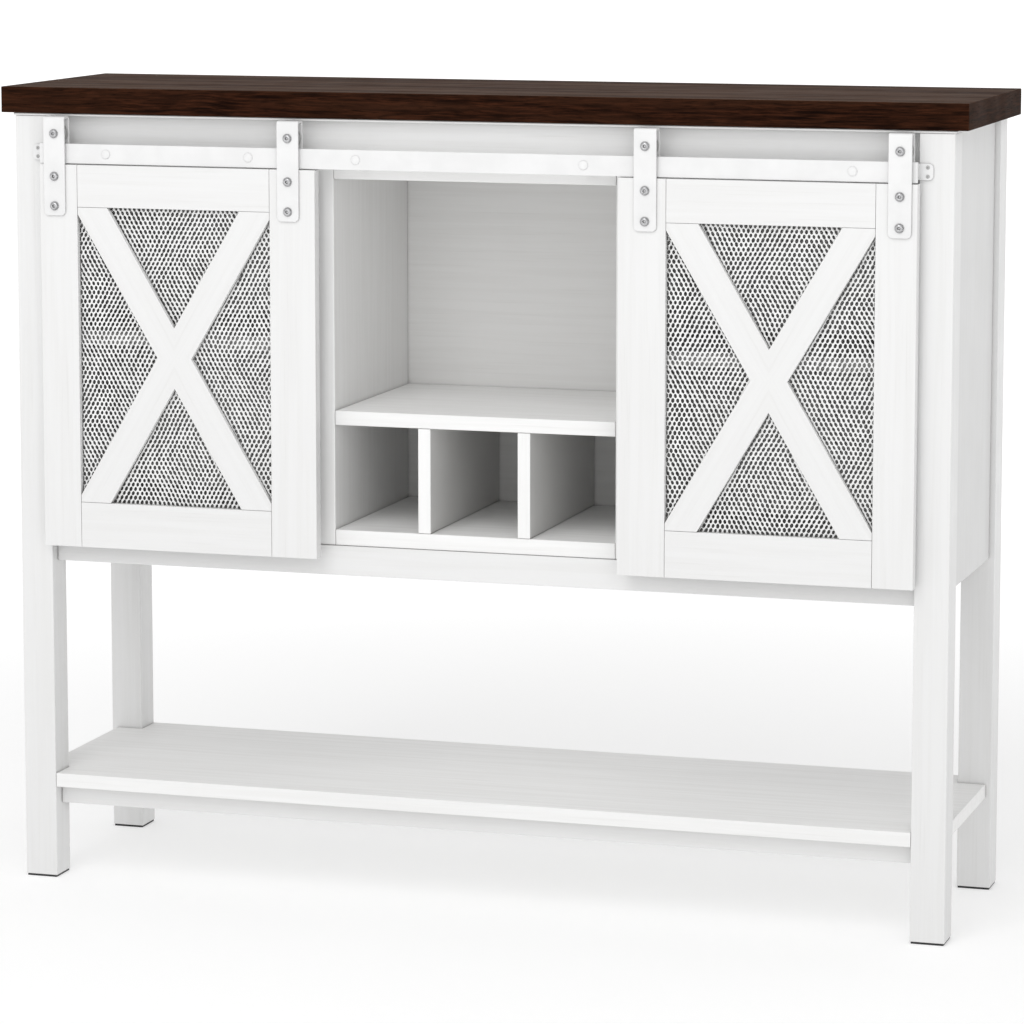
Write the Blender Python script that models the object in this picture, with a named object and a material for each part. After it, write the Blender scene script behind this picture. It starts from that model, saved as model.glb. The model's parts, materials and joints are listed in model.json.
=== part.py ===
"""Sideboard buffet: a walnut top on a white carcass, with two doors hung on a flat track.

Frame: metres, +Z up, +X to the right of a person facing the doors, doors towards -Y.
The origin lies on the floor, under the centre of the whole object's bounding box.
"""

import math

import bmesh
import bpy
from mathutils import Matrix, Vector

# ---------------------------------------------------------------- driving dimensions
FIT = 0.0003                 # gap between two pieces that touch on the real object

TOP_WIDTH = 1.100
TOP_DEPTH = 0.300
TOP_THICKNESS = 0.029
TOTAL_HEIGHT = 0.905
HARDWARE_PROUD = 0.0208      # bolt heads stand this far in front of the top's front edge

LEG = 0.038                  # square section
LEG_SIDE_INSET = 0.015       # from the end of the top
LEG_FRONT_INSET = 0.004      # from the front edge of the top
GLIDE_THICKNESS = 0.002
GLIDE_INSET = 0.001
SUB_TOP_THICKNESS = 0.0027
SUB_TOP_PROUD = 0.0015       # the thin board under the top stands past the legs

APRON_RECESS = 0.014         # frieze and cabinet apron, behind the leg fronts
APRON_THICKNESS = 0.012
INNER_RECESS = 0.016         # partitions, shelves and floors, behind the leg fronts
SIDE_PANEL_RECESS = 0.0065
SIDE_PANEL_THICKNESS = 0.012
SIDE_PANEL_BOTTOM = 0.380
BACK_PANEL_INSET = 0.021     # from the back of the legs to the back of the panel
BACK_PANEL_THICKNESS = 0.005
BACK_PANEL_BOTTOM = 0.386

FRIEZE_BOTTOM = 0.8225
HEADER_BOTTOM = 0.8085
FLOOR_BOTTOM = 0.400
FLOOR_TOP = 0.4175
APRON_BOTTOM = 0.3665
CENTER_SHELF_BOTTOM = 0.535
CENTER_SHELF_TOP = 0.551
SIDE_SHELF_BOTTOM = 0.612
SIDE_SHELF_THICKNESS = 0.015
LOWER_SHELF_BOTTOM = 0.106
LOWER_SHELF_TOP = 0.122
SHELF_APRON_BOTTOM = 0.0845
SHELF_APRON_RECESS = 0.016

BAY_HALF_WIDTH = 0.162       # clear half width of the open centre bay
PARTITION_THICKNESS = 0.0185
DIVIDER_THICKNESS = 0.0145
DIVIDER_OFFSET = 0.0575      # divider centre from the middle of the bay

RAIL_HALF_LENGTH = 0.4985
RAIL_BOTTOM = 0.8212
RAIL_TOP = 0.8432
RAIL_THICKNESS = 0.0045
RAIL_FRONT_PROUD = 0.0123    # in front of the top's front edge
RAIL_BOLT_PLACES = (-0.419, -0.250, -0.125, 0.134, 0.429)
RAIL_BOLT_HEAD_RADIUS = 0.0052
RAIL_BOLT_HEAD_HEIGHT = 0.0015
RAIL_BOLT_RADIUS = 0.0026
STANDOFF_RADIUS = 0.0045

DOOR_BOTTOM = 0.389
DOOR_TOP = 0.820
DOOR_THICKNESS = 0.0135
DOOR_FRONT_PROUD = 0.0150    # in front of the top's front edge
OUTER_STILE = 0.0445
INNER_STILE = 0.053
DOOR_OPENING_WIDTH = 0.2285
TOP_RAIL = 0.047
BOTTOM_RAIL = 0.051
LEFT_DOOR_OUTER_X = -0.4975  # where each door is parked
RIGHT_DOOR_OUTER_X = 0.4995
BRACE_THICKNESS = 0.0068
BRACE_ON_RAIL = 0.0355       # length that a brace end takes along the rail
BRACE_ON_STILE = 0.008       # length that a brace end takes along the stile
MESH_THICKNESS = 0.0012
RABBET_WIDTH = 0.006

STRAP_WIDTH = 0.025
STRAP_THICKNESS = 0.0025
STRAP_INNER_GAP = 0.0105     # between the front and back leaves
STRAP_BOTTOM = 0.7632
STRAP_TOP = 0.8735
STRAP_BACK_BOTTOM = 0.838
STRAP_CORNER = 0.005
STRAP_BEND_RADIUS = 0.0034   # outside of the bend over the roller
STRAP_HOLE_RADIUS = 0.0028
STRAP_FIXING_HEIGHTS = (0.8069, 0.7739)
OUTER_STRAP_OFFSET = 0.0185  # strap centre from the outer edge of the door
INNER_STRAP_OFFSET = 0.0305  # strap centre from the inner edge of the door

ROLLER_RADIUS = 0.0110       # running surface
ROLLER_FLANGE_RADIUS = 0.0124
ROLLER_WIDTH = 0.0075
ROLLER_GROOVE = 0.0051
AXLE_RADIUS = 0.0025
AXLE_HEAD_RADIUS = 0.0050
AXLE_HEAD_HEIGHT = 0.0027
AXLE_NUT_RADIUS = 0.0044
AXLE_NUT_THICKNESS = 0.0028

BRACKET_PLATE_THICKNESS = 0.0025
BRACKET_PLATE_BOTTOM = 0.8235
BRACKET_PLATE_TOP = 0.8410
BRACKET_TAB_BOTTOM = 0.8260
BRACKET_TAB_TOP = 0.8365
BRACKET_TAB_WIDTH = 0.0115
BRACKET_OUT = 0.014          # the plate shows this far past the rail's end

BOARD_EDGE = 0.0008          # eased edges of boards
DOOR_EDGE = 0.0005           # eased edges of the door's frame and brace
METAL_EDGE = 0.0004
ROUND_STEPS = 28             # sides of a roller
BOLT_STEPS = 20              # sides of a bolt

# ---------------------------------------------------------------- derived planes
TOP_FRONT_Y = HARDWARE_PROUD - (TOP_DEPTH + HARDWARE_PROUD) / 2
BACK_Y = TOP_FRONT_Y + TOP_DEPTH
TOP_BOTTOM = TOTAL_HEIGHT - TOP_THICKNESS
LEG_TOP = TOP_BOTTOM - SUB_TOP_THICKNESS - 2 * FIT
LEG_OUTER_X = TOP_WIDTH / 2 - LEG_SIDE_INSET
LEG_INNER_X = LEG_OUTER_X - LEG
LEG_FRONT_Y = TOP_FRONT_Y + LEG_FRONT_INSET
FRONT_LEG_BACK_Y = LEG_FRONT_Y + LEG
BACK_LEG_FRONT_Y = BACK_Y - LEG
APRON_FRONT_Y = LEG_FRONT_Y + APRON_RECESS
INNER_FRONT_Y = LEG_FRONT_Y + INNER_RECESS
BACK_PANEL_FRONT_Y = BACK_Y - BACK_PANEL_INSET - BACK_PANEL_THICKNESS
SIDE_PANEL_OUTER_X = LEG_OUTER_X - SIDE_PANEL_RECESS
SIDE_PANEL_INNER_X = SIDE_PANEL_OUTER_X - SIDE_PANEL_THICKNESS
PARTITION_OUTER_X = BAY_HALF_WIDTH + PARTITION_THICKNESS
RAIL_FRONT_Y = TOP_FRONT_Y - RAIL_FRONT_PROUD
RAIL_BACK_Y = RAIL_FRONT_Y + RAIL_THICKNESS
RAIL_MIDDLE_Y = (RAIL_FRONT_Y + RAIL_BACK_Y) / 2
RAIL_MIDDLE_Z = (RAIL_BOTTOM + RAIL_TOP) / 2
DOOR_FRONT_Y = TOP_FRONT_Y - DOOR_FRONT_PROUD
DOOR_BACK_Y = DOOR_FRONT_Y + DOOR_THICKNESS
DOOR_WIDTH = OUTER_STILE + DOOR_OPENING_WIDTH + INNER_STILE
BRACE_FRONT_Y = DOOR_FRONT_Y + FIT
BRACE_BACK_Y = BRACE_FRONT_Y + BRACE_THICKNESS
STRAP_FRONT_Y = DOOR_FRONT_Y - FIT - STRAP_THICKNESS
STRAP_BACK_Y = STRAP_FRONT_Y + 2 * STRAP_THICKNESS + STRAP_INNER_GAP
AXLE_Z = RAIL_TOP + FIT + ROLLER_RADIUS


# ---------------------------------------------------------------- finishes
def make_finish(name, color, roughness, metallic=0.0):
    """A plain Principled material; color is linear RGB."""
    material = bpy.data.materials.new(name)
    material.use_nodes = True
    shader = material.node_tree.nodes["Principled BSDF"]
    shader.inputs["Base Color"].default_value = (*color, 1.0)
    shader.inputs["Roughness"].default_value = roughness
    shader.inputs["Metallic"].default_value = metallic
    material.diffuse_color = (*color, 1.0)
    return material


def make_finishes():
    """Every finish of the sideboard, by its slot name."""
    return {
        "walnut": make_finish("walnut", (0.035, 0.016, 0.011), 0.5),
        "white_paint": make_finish("white_paint", (0.86, 0.86, 0.85), 0.45),
        "inner_paint": make_finish("inner_paint", (0.80, 0.80, 0.79), 0.5),
        "white_steel": make_finish("white_steel", (0.90, 0.90, 0.90), 0.3),
        "mesh_steel": make_finish("mesh_steel", (0.82, 0.82, 0.82), 0.4),
        "zinc": make_finish("zinc", (0.45, 0.45, 0.46), 0.35, 1.0),
        "nylon": make_finish("nylon", (0.62, 0.62, 0.61), 0.45),
        "glide": make_finish("glide", (0.02, 0.02, 0.02), 0.7),
    }


# ---------------------------------------------------------------- modelling helpers
def place(name, mesh_data, origin, finish, parent=None, smooth=False):
    """Make an object from a bmesh whose points are relative to origin."""
    bmesh.ops.recalc_face_normals(mesh_data, faces=mesh_data.faces)
    mesh = bpy.data.meshes.new(name)
    mesh_data.to_mesh(mesh)
    mesh_data.free()
    if smooth:
        mesh.shade_smooth()
        mesh.set_sharp_from_angle(angle=math.radians(35))
    if finish is not None:
        mesh.materials.append(finish)
    obj = bpy.data.objects.new(name, mesh)
    bpy.context.scene.collection.objects.link(obj)
    obj.location = origin
    if parent is not None:
        obj.parent = parent
        obj.location = Vector(origin) - parent.location
    return obj


def ease_edges(obj, width, segments=2):
    """Round the sharp edges of a piece."""
    bevel = obj.modifiers.new("eased_edges", "BEVEL")
    bevel.width = width
    bevel.segments = segments
    bevel.limit_method = "ANGLE"
    bevel.angle_limit = math.radians(40)
    return bevel


def box_mesh(low, high):
    """A box between two corners, with its points relative to its own centre."""
    low, high = Vector(low), Vector(high)
    mesh_data = bmesh.new()
    bmesh.ops.create_cube(mesh_data, size=1.0, matrix=Matrix.Diagonal((*(high - low), 1.0)))
    return mesh_data, (low + high) / 2


def board(name, low, high, finish, edge=BOARD_EDGE, segments=2):
    """A flat board or bar between two corners, with eased edges."""
    mesh_data, centre = box_mesh(low, high)
    obj = place(name, mesh_data, centre, finish)
    ease_edges(obj, edge, segments)
    return obj


def prism(name, outline, axis, start, end, finish, parent=None, origin=(0, 0, 0)):
    """A closed outline in the plane across an axis (0 x, 1 y, 2 z), extruded along it.

    The outline's points hold the two other coordinates in x, y, z order.
    """
    mesh_data = bmesh.new()
    origin = Vector(origin)

    def corner(point, along):
        spread = list(point)
        spread.insert(axis, along)
        return mesh_data.verts.new(Vector(spread) - origin)

    face = mesh_data.faces.new([corner(point, start) for point in outline])
    raised = bmesh.ops.extrude_face_region(mesh_data, geom=[face])
    shift = Vector((0.0, 0.0, 0.0))
    shift[axis] = end - start
    tops = [item for item in raised["geom"] if isinstance(item, bmesh.types.BMVert)]
    bmesh.ops.translate(mesh_data, vec=shift, verts=tops)
    return place(name, mesh_data, origin, finish, parent)


def turned(name, profile, origin, finish, steps, closed, parent=None):
    """Turn a profile of (distance along Y, radius) about the Y axis through origin.

    A closed profile is a ring with a bore. An open one starts and ends on the axis.
    """
    mesh_data = bmesh.new()
    rings = []
    for along, radius in profile:
        if radius == 0.0:
            rings.append([mesh_data.verts.new((0.0, along, 0.0))])
            continue
        angles = [2 * math.pi * step / steps for step in range(steps)]
        rings.append([
            mesh_data.verts.new((radius * math.cos(angle), along, radius * math.sin(angle)))
            for angle in angles
        ])
    pairs = list(zip(rings, rings[1:]))
    if closed:
        pairs.append((rings[-1], rings[0]))
    for first, second in pairs:
        for step in range(steps):
            following = (step + 1) % steps
            corners = [
                first[step % len(first)], first[following % len(first)],
                second[following % len(second)], second[step % len(second)],
            ]
            mesh_data.faces.new(list(dict.fromkeys(corners)))
    return place(name, mesh_data, origin, finish, parent, smooth=True)


def as_cutter(obj):
    """Turn an object into a construction guide that isn't part of the sideboard."""
    obj.hide_render = True
    obj.display_type = "WIRE"
    return obj


def combine(obj, guide, operation):
    """Cut a piece with a guide, or join the guide's solid to it."""
    boolean = obj.modifiers.new(guide.name, "BOOLEAN")
    boolean.operation = operation
    boolean.object = guide


def drill_guide(name, x, z, radius, front_y, back_y):
    """A round guide along Y for a drilled hole."""
    length = back_y - front_y
    profile = [(0.0, 0.0), (0.0, radius), (length, radius), (length, 0.0)]
    return as_cutter(turned(name, profile, (x, front_y, z), None, BOLT_STEPS, closed=False))


def arc(centre, radius, start, end, steps):
    """Points on an arc in a plane, angles in degrees."""
    angles = [math.radians(start + (end - start) * step / steps) for step in range(steps + 1)]
    return [(centre[0] + radius * math.cos(a), centre[1] + radius * math.sin(a)) for a in angles]


SIDES = {"left": -1, "right": 1}


def span(side, inner, outer):
    """The low and high x between two distances from the middle, on one side."""
    return sorted((side * inner, side * outer))


# ---------------------------------------------------------------- carcass
def build_top(finishes):
    """The walnut top and the thin white board under it."""
    half = TOP_WIDTH / 2
    board("top_board", (-half, TOP_FRONT_Y, TOP_BOTTOM), (half, BACK_Y, TOTAL_HEIGHT), finishes["walnut"])
    reach = LEG_OUTER_X + SUB_TOP_PROUD
    low = (-reach, LEG_FRONT_Y - SUB_TOP_PROUD, TOP_BOTTOM - FIT - SUB_TOP_THICKNESS)
    high = (reach, BACK_Y - SUB_TOP_PROUD, TOP_BOTTOM - FIT)
    board("sub_top", low, high, finishes["white_paint"], segments=1)


def build_legs(finishes):
    """Four square legs, each on a thin dark glide."""
    fronts = {"front": LEG_FRONT_Y, "back": BACK_LEG_FRONT_Y}
    for row, front_y in fronts.items():
        for side_name, side in SIDES.items():
            x_low, x_high = span(side, LEG_INNER_X, LEG_OUTER_X)
            low = (x_low, front_y, GLIDE_THICKNESS + FIT)
            board(f"leg_{row}_{side_name}", low, (x_high, front_y + LEG, LEG_TOP), finishes["white_paint"])
            low = (x_low + GLIDE_INSET, front_y + GLIDE_INSET, 0.0)
            high = (x_high - GLIDE_INSET, front_y + LEG - GLIDE_INSET, GLIDE_THICKNESS)
            board(f"foot_glide_{row}_{side_name}", low, high, finishes["glide"], edge=METAL_EDGE, segments=1)


def notched_outline(x_inner, x_outer, y_front, y_back):
    """Plan outline of a board that runs out past both legs of one side, with a corner
    cut out for each leg. The points run from the inner front corner to the inner back one.
    """
    notch_x = math.copysign(LEG_INNER_X - FIT, x_outer)
    return [
        (x_inner, y_front),
        (notch_x, y_front),
        (notch_x, FRONT_LEG_BACK_Y + FIT),
        (x_outer, FRONT_LEG_BACK_Y + FIT),
        (x_outer, BACK_LEG_FRONT_Y - FIT),
        (notch_x, BACK_LEG_FRONT_Y - FIT),
        (notch_x, y_back),
        (x_inner, y_back),
    ]


def build_sides_and_back(finishes):
    """Side panels between the legs, and the back panel between the back legs."""
    for side_name, side in SIDES.items():
        x_low, x_high = span(side, SIDE_PANEL_INNER_X, SIDE_PANEL_OUTER_X)
        low = (x_low, FRONT_LEG_BACK_Y + FIT, SIDE_PANEL_BOTTOM)
        high = (x_high, BACK_LEG_FRONT_Y - FIT, LEG_TOP)
        board(f"side_panel_{side_name}", low, high, finishes["white_paint"])
    reach = LEG_INNER_X - FIT
    low = (-reach, BACK_PANEL_FRONT_Y, BACK_PANEL_BOTTOM)
    high = (reach, BACK_PANEL_FRONT_Y + BACK_PANEL_THICKNESS, LEG_TOP)
    board("back_panel", low, high, finishes["inner_paint"], segments=1)


def build_aprons(finishes):
    """The frieze behind the track, the apron under the cabinet and the low shelf's apron."""
    reach = LEG_INNER_X - FIT
    rows = (
        ("frieze", APRON_FRONT_Y, FRIEZE_BOTTOM, LEG_TOP),
        ("cabinet_apron", APRON_FRONT_Y, APRON_BOTTOM, FLOOR_BOTTOM - FIT),
        ("shelf_apron", LEG_FRONT_Y + SHELF_APRON_RECESS, SHELF_APRON_BOTTOM, LOWER_SHELF_BOTTOM - FIT),
    )
    for name, front_y, bottom, top in rows:
        low = (-reach, front_y, bottom)
        board(name, low, (reach, front_y + APRON_THICKNESS, top), finishes["white_paint"])


def build_center_bay(finishes):
    """Partitions, header, shelf, floor and bottle dividers of the open centre bay."""
    back_y = BACK_PANEL_FRONT_Y - FIT
    for side_name, side in SIDES.items():
        x_low, x_high = span(side, BAY_HALF_WIDTH, PARTITION_OUTER_X)
        low = (x_low, INNER_FRONT_Y, FLOOR_BOTTOM)
        high = (x_high, back_y, FRIEZE_BOTTOM - FIT)
        board(f"partition_{side_name}", low, high, finishes["inner_paint"])
        middle = side * DIVIDER_OFFSET
        low = (middle - DIVIDER_THICKNESS / 2, INNER_FRONT_Y, FLOOR_TOP + FIT)
        high = (middle + DIVIDER_THICKNESS / 2, back_y, CENTER_SHELF_BOTTOM - FIT)
        board(f"bottle_divider_{side_name}", low, high, finishes["inner_paint"])
    reach = BAY_HALF_WIDTH - FIT
    rows = (
        ("niche_header", HEADER_BOTTOM, FRIEZE_BOTTOM - FIT),
        ("center_shelf", CENTER_SHELF_BOTTOM, CENTER_SHELF_TOP),
        ("center_floor", FLOOR_BOTTOM, FLOOR_TOP),
    )
    for name, bottom, top in rows:
        board(name, (-reach, INNER_FRONT_Y, bottom), (reach, back_y, top), finishes["inner_paint"])


def build_side_bays(finishes):
    """Floor and shelf of the compartment behind each door."""
    back_y = BACK_PANEL_FRONT_Y - FIT
    for side_name, side in SIDES.items():
        inner = side * (PARTITION_OUTER_X + FIT)
        outer = side * (SIDE_PANEL_INNER_X - FIT)
        outline = notched_outline(inner, outer, INNER_FRONT_Y, back_y)
        floor = prism(f"side_floor_{side_name}", outline, 2, FLOOR_BOTTOM, FLOOR_TOP, finishes["inner_paint"])
        ease_edges(floor, BOARD_EDGE, segments=1)
        x_low, x_high = sorted((inner, outer))
        low = (x_low, FRONT_LEG_BACK_Y + FIT, SIDE_SHELF_BOTTOM)
        high = (x_high, BACK_LEG_FRONT_Y - FIT, SIDE_SHELF_BOTTOM + SIDE_SHELF_THICKNESS)
        board(f"side_shelf_{side_name}", low, high, finishes["inner_paint"], segments=1)


def build_lower_shelf(finishes):
    """The low shelf, cut out around all four legs."""
    right = notched_outline(0.0, SIDE_PANEL_OUTER_X, LEG_FRONT_Y, BACK_Y)[1:-1]
    left = [(-x, y) for x, y in reversed(right)]
    shelf = prism(
        "lower_shelf", right + left, 2, LOWER_SHELF_BOTTOM, LOWER_SHELF_TOP, finishes["white_paint"]
    )
    ease_edges(shelf, BOARD_EDGE)


# ---------------------------------------------------------------- track
def build_track(finishes):
    """The flat track bar with its bolts, stand-offs and end brackets."""
    low = (-RAIL_HALF_LENGTH, RAIL_FRONT_Y, RAIL_BOTTOM)
    high = (RAIL_HALF_LENGTH, RAIL_BACK_Y, RAIL_TOP)
    mesh_data, centre = box_mesh(low, high)
    rail = place("track_rail", mesh_data, centre, finishes["white_steel"])
    ease_edges(rail, METAL_EDGE)
    for number, x in enumerate(RAIL_BOLT_PLACES, start=1):
        hole = drill_guide(
            f"rail_hole_{number}", x, RAIL_MIDDLE_Z, RAIL_BOLT_RADIUS + FIT,
            RAIL_FRONT_Y - METAL_EDGE * 4, RAIL_BACK_Y + METAL_EDGE * 4,
        )
        combine(rail, hole, "DIFFERENCE")
        build_rail_bolt(f"rail_bolt_{number}", x, finishes)
    for side_name, side in SIDES.items():
        build_end_bracket(side_name, side, finishes)


def build_rail_bolt(name, x, finishes):
    """A low domed bolt through the track, with the stand-off collar behind it."""
    head = RAIL_BOLT_HEAD_HEIGHT
    collar_start = RAIL_THICKNESS + 2 * FIT
    collar_end = APRON_FRONT_Y - RAIL_FRONT_Y
    profile = [
        (-head, 0.0),
        (-head * 0.92, RAIL_BOLT_HEAD_RADIUS * 0.45),
        (-head * 0.62, RAIL_BOLT_HEAD_RADIUS * 0.82),
        (0.0, RAIL_BOLT_HEAD_RADIUS),
        (0.0, RAIL_BOLT_RADIUS),
        (collar_start, RAIL_BOLT_RADIUS),
        (collar_start, STANDOFF_RADIUS),
        (collar_end, STANDOFF_RADIUS),
        (collar_end, 0.0),
    ]
    origin = (x, RAIL_FRONT_Y - FIT, RAIL_MIDDLE_Z)
    turned(name, profile, origin, finishes["white_steel"], BOLT_STEPS, closed=False)


def build_end_bracket(side_name, side, finishes):
    """A small plate on the leg with a tab that backs the end of the track."""
    plate_back = LEG_FRONT_Y - FIT
    plate_front = plate_back - BRACKET_PLATE_THICKNESS
    tab_x = RAIL_HALF_LENGTH - BRACKET_TAB_WIDTH - BRACKET_PLATE_THICKNESS
    x_low, x_high = span(side, tab_x, RAIL_HALF_LENGTH + BRACKET_OUT)
    low = (x_low, plate_front, BRACKET_PLATE_BOTTOM)
    mesh_data, centre = box_mesh(low, (x_high, plate_back, BRACKET_PLATE_TOP))
    ends = [edge for edge in mesh_data.edges if is_along_y(edge) and side * edge.verts[0].co.x > 0]
    bmesh.ops.bevel(mesh_data, geom=ends, offset=BRACKET_OUT / 3, segments=4, profile=0.5, affect="EDGES")
    bracket = place(f"rail_end_bracket_{side_name}", mesh_data, centre, finishes["white_steel"])
    x_low, x_high = span(side, tab_x, tab_x + BRACKET_TAB_WIDTH)
    low = (x_low, RAIL_BACK_Y + FIT, BRACKET_TAB_BOTTOM)
    high = (x_high, plate_front + BRACKET_PLATE_THICKNESS / 2, BRACKET_TAB_TOP)
    mesh_data, centre = box_mesh(low, high)
    tab = as_cutter(place(f"bracket_tab_{side_name}", mesh_data, centre, None))
    combine(bracket, tab, "UNION")
    ease_edges(bracket, METAL_EDGE)


def is_along_y(edge):
    """True for an edge that runs front to back."""
    step = edge.verts[1].co - edge.verts[0].co
    return abs(step.y) > 1e-6 and abs(step.x) < 1e-6 and abs(step.z) < 1e-6


# ---------------------------------------------------------------- doors
def brace_outline(left_x, right_x):
    """Outline of the one-piece X in the plane of the door, as (x, z) points."""
    half_width = (right_x - left_x) / 2 - FIT
    bottom, top = DOOR_BOTTOM + BOTTOM_RAIL + FIT, DOOR_TOP - TOP_RAIL - FIT
    half_height = (top - bottom) / 2
    centre_x, centre_z = (left_x + right_x) / 2, (bottom + top) / 2
    run = 2 * half_width - BRACE_ON_RAIL
    rise = 2 * half_height - BRACE_ON_STILE
    notch_z = half_height - (half_width - BRACE_ON_RAIL) / run * rise
    notch_x = -half_width + BRACE_ON_RAIL + half_height / rise * run
    quarter = [
        (0.0, notch_z),
        (half_width - BRACE_ON_RAIL, half_height),
        (half_width, half_height),
        (half_width, half_height - BRACE_ON_STILE),
        (notch_x, 0.0),
    ]
    right = quarter + [(x, -z) for x, z in reversed(quarter[:-1])]
    left = [(-x, z) for x, z in reversed(right[1:-1])]
    return [(centre_x + x, centre_z + z) for x, z in right + left]


def build_door(side_name, side, outer_x, finishes):
    """One door with its frame, brace, mesh and two hangers, on an empty at its track."""
    inner_x = outer_x - side * DOOR_WIDTH
    carriage = bpy.data.objects.new(f"{side_name}_door_carriage", None)
    bpy.context.scene.collection.objects.link(carriage)
    carriage.location = ((outer_x + inner_x) / 2, RAIL_MIDDLE_Y, RAIL_TOP)

    outer_joint = outer_x - side * OUTER_STILE
    inner_joint = inner_x + side * INNER_STILE
    open_low, open_high = sorted((outer_joint, inner_joint))
    opening_bottom, opening_top = DOOR_BOTTOM + BOTTOM_RAIL, DOOR_TOP - TOP_RAIL
    rabbet_low = (open_low - RABBET_WIDTH, BRACE_BACK_Y, opening_bottom - RABBET_WIDTH)
    rabbet_high = (open_high + RABBET_WIDTH, DOOR_BACK_Y + RABBET_WIDTH, opening_top + RABBET_WIDTH)
    mesh_data, centre = box_mesh(rabbet_low, rabbet_high)
    rabbet = as_cutter(place(f"{side_name}_rabbet", mesh_data, centre, None))

    members = (
        ("outer_stile", outer_x, outer_joint, DOOR_BOTTOM, DOOR_TOP),
        ("inner_stile", inner_x, inner_joint, DOOR_BOTTOM, DOOR_TOP),
        ("top_rail", open_low + FIT, open_high - FIT, opening_top, DOOR_TOP),
        ("bottom_rail", open_low + FIT, open_high - FIT, DOOR_BOTTOM, opening_bottom),
    )
    for member, first_x, second_x, bottom, top in members:
        x_low, x_high = sorted((first_x, second_x))
        mesh_data, centre = box_mesh((x_low, DOOR_FRONT_Y, bottom), (x_high, DOOR_BACK_Y, top))
        piece = place(f"{side_name}_door_{member}", mesh_data, centre, finishes["white_paint"], carriage)
        combine(piece, rabbet, "DIFFERENCE")
        ease_edges(piece, DOOR_EDGE)

    brace = prism(
        f"{side_name}_door_brace", brace_outline(open_low, open_high), 1, BRACE_FRONT_Y,
        BRACE_BACK_Y - FIT, finishes["white_paint"], carriage, origin=centre_of_opening(open_low, open_high),
    )
    ease_edges(brace, DOOR_EDGE)
    margin = RABBET_WIDTH - FIT
    low = (open_low - margin, BRACE_BACK_Y + FIT, opening_bottom - margin)
    high = (open_high + margin, BRACE_BACK_Y + FIT + MESH_THICKNESS, opening_top + margin)
    mesh_data, centre = box_mesh(low, high)
    place(f"{side_name}_door_mesh", mesh_data, centre, finishes["mesh_steel"], carriage)

    hangers = {
        "outer": outer_x - side * OUTER_STRAP_OFFSET,
        "inner": inner_x + side * INNER_STRAP_OFFSET,
    }
    for place_name, x in hangers.items():
        build_hanger(f"{side_name}_{place_name}", x, carriage, finishes)


def centre_of_opening(open_low, open_high):
    """The middle of a door's mesh opening, in the plane of the brace."""
    middle_z = (DOOR_BOTTOM + BOTTOM_RAIL + DOOR_TOP - TOP_RAIL) / 2
    return ((open_low + open_high) / 2, BRACE_FRONT_Y, middle_z)


def build_hanger(label, x, carriage, finishes):
    """A strap folded over a grooved roller, and the bolt that the roller turns on."""
    outer, inner = STRAP_BEND_RADIUS, STRAP_BEND_RADIUS - STRAP_THICKNESS
    bend_z = STRAP_TOP - outer
    front_bend = (STRAP_FRONT_Y + outer, bend_z)
    back_bend = (STRAP_BACK_Y - outer, bend_z)
    outline = [(STRAP_FRONT_Y, STRAP_BOTTOM)]
    outline += arc(front_bend, outer, 180, 90, 4)
    outline += arc(back_bend, outer, 90, 0, 4)
    outline += [(STRAP_BACK_Y, STRAP_BACK_BOTTOM), (STRAP_BACK_Y - STRAP_THICKNESS, STRAP_BACK_BOTTOM)]
    outline += arc(back_bend, inner, 0, 90, 4)
    outline += arc(front_bend, inner, 90, 180, 4)
    outline += [(STRAP_FRONT_Y + STRAP_THICKNESS, STRAP_BOTTOM)]
    axle = Vector((x, RAIL_MIDDLE_Y, AXLE_Z))
    half = STRAP_WIDTH / 2
    strap = prism(
        f"{label}_hanger", outline, 0, x - half, x + half, finishes["white_steel"], carriage, origin=axle
    )
    round_strap_foot(strap)
    ease_edges(strap, METAL_EDGE, segments=1)
    for number, hole_z in enumerate((AXLE_Z, *STRAP_FIXING_HEIGHTS)):
        back_y = STRAP_BACK_Y if number == 0 else STRAP_FRONT_Y + STRAP_THICKNESS
        hole = drill_guide(
            f"{label}_hole_{number}", x, hole_z, STRAP_HOLE_RADIUS,
            STRAP_FRONT_Y - STRAP_THICKNESS, back_y + STRAP_THICKNESS,
        )
        combine(strap, hole, "DIFFERENCE")
    build_roller(f"{label}_roller", axle, carriage, finishes)
    build_axle_bolt(f"{label}_axle_bolt", axle, carriage, finishes)


def round_strap_foot(strap):
    """Round the two lower corners of a strap's front leaf."""
    mesh_data = bmesh.new()
    mesh_data.from_mesh(strap.data)
    lowest = min(vert.co.z for vert in mesh_data.verts)
    corners = [
        edge for edge in mesh_data.edges
        if is_along_y(edge) and all(abs(vert.co.z - lowest) < 1e-6 for vert in edge.verts)
    ]
    bmesh.ops.bevel(mesh_data, geom=corners, offset=STRAP_CORNER, segments=5, profile=0.5, affect="EDGES")
    mesh_data.to_mesh(strap.data)
    mesh_data.free()


def build_roller(name, axle, carriage, finishes):
    """A grooved nylon roller that runs on the top edge of the track."""
    half, groove = ROLLER_WIDTH / 2, ROLLER_GROOVE / 2
    bore = AXLE_RADIUS + FIT
    profile = [
        (-half, bore), (-half, ROLLER_FLANGE_RADIUS), (-groove, ROLLER_FLANGE_RADIUS),
        (-groove, ROLLER_RADIUS), (groove, ROLLER_RADIUS),
        (groove, ROLLER_FLANGE_RADIUS), (half, ROLLER_FLANGE_RADIUS), (half, bore),
    ]
    turned(name, profile, axle, finishes["nylon"], ROUND_STEPS, closed=True, parent=carriage)


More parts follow.
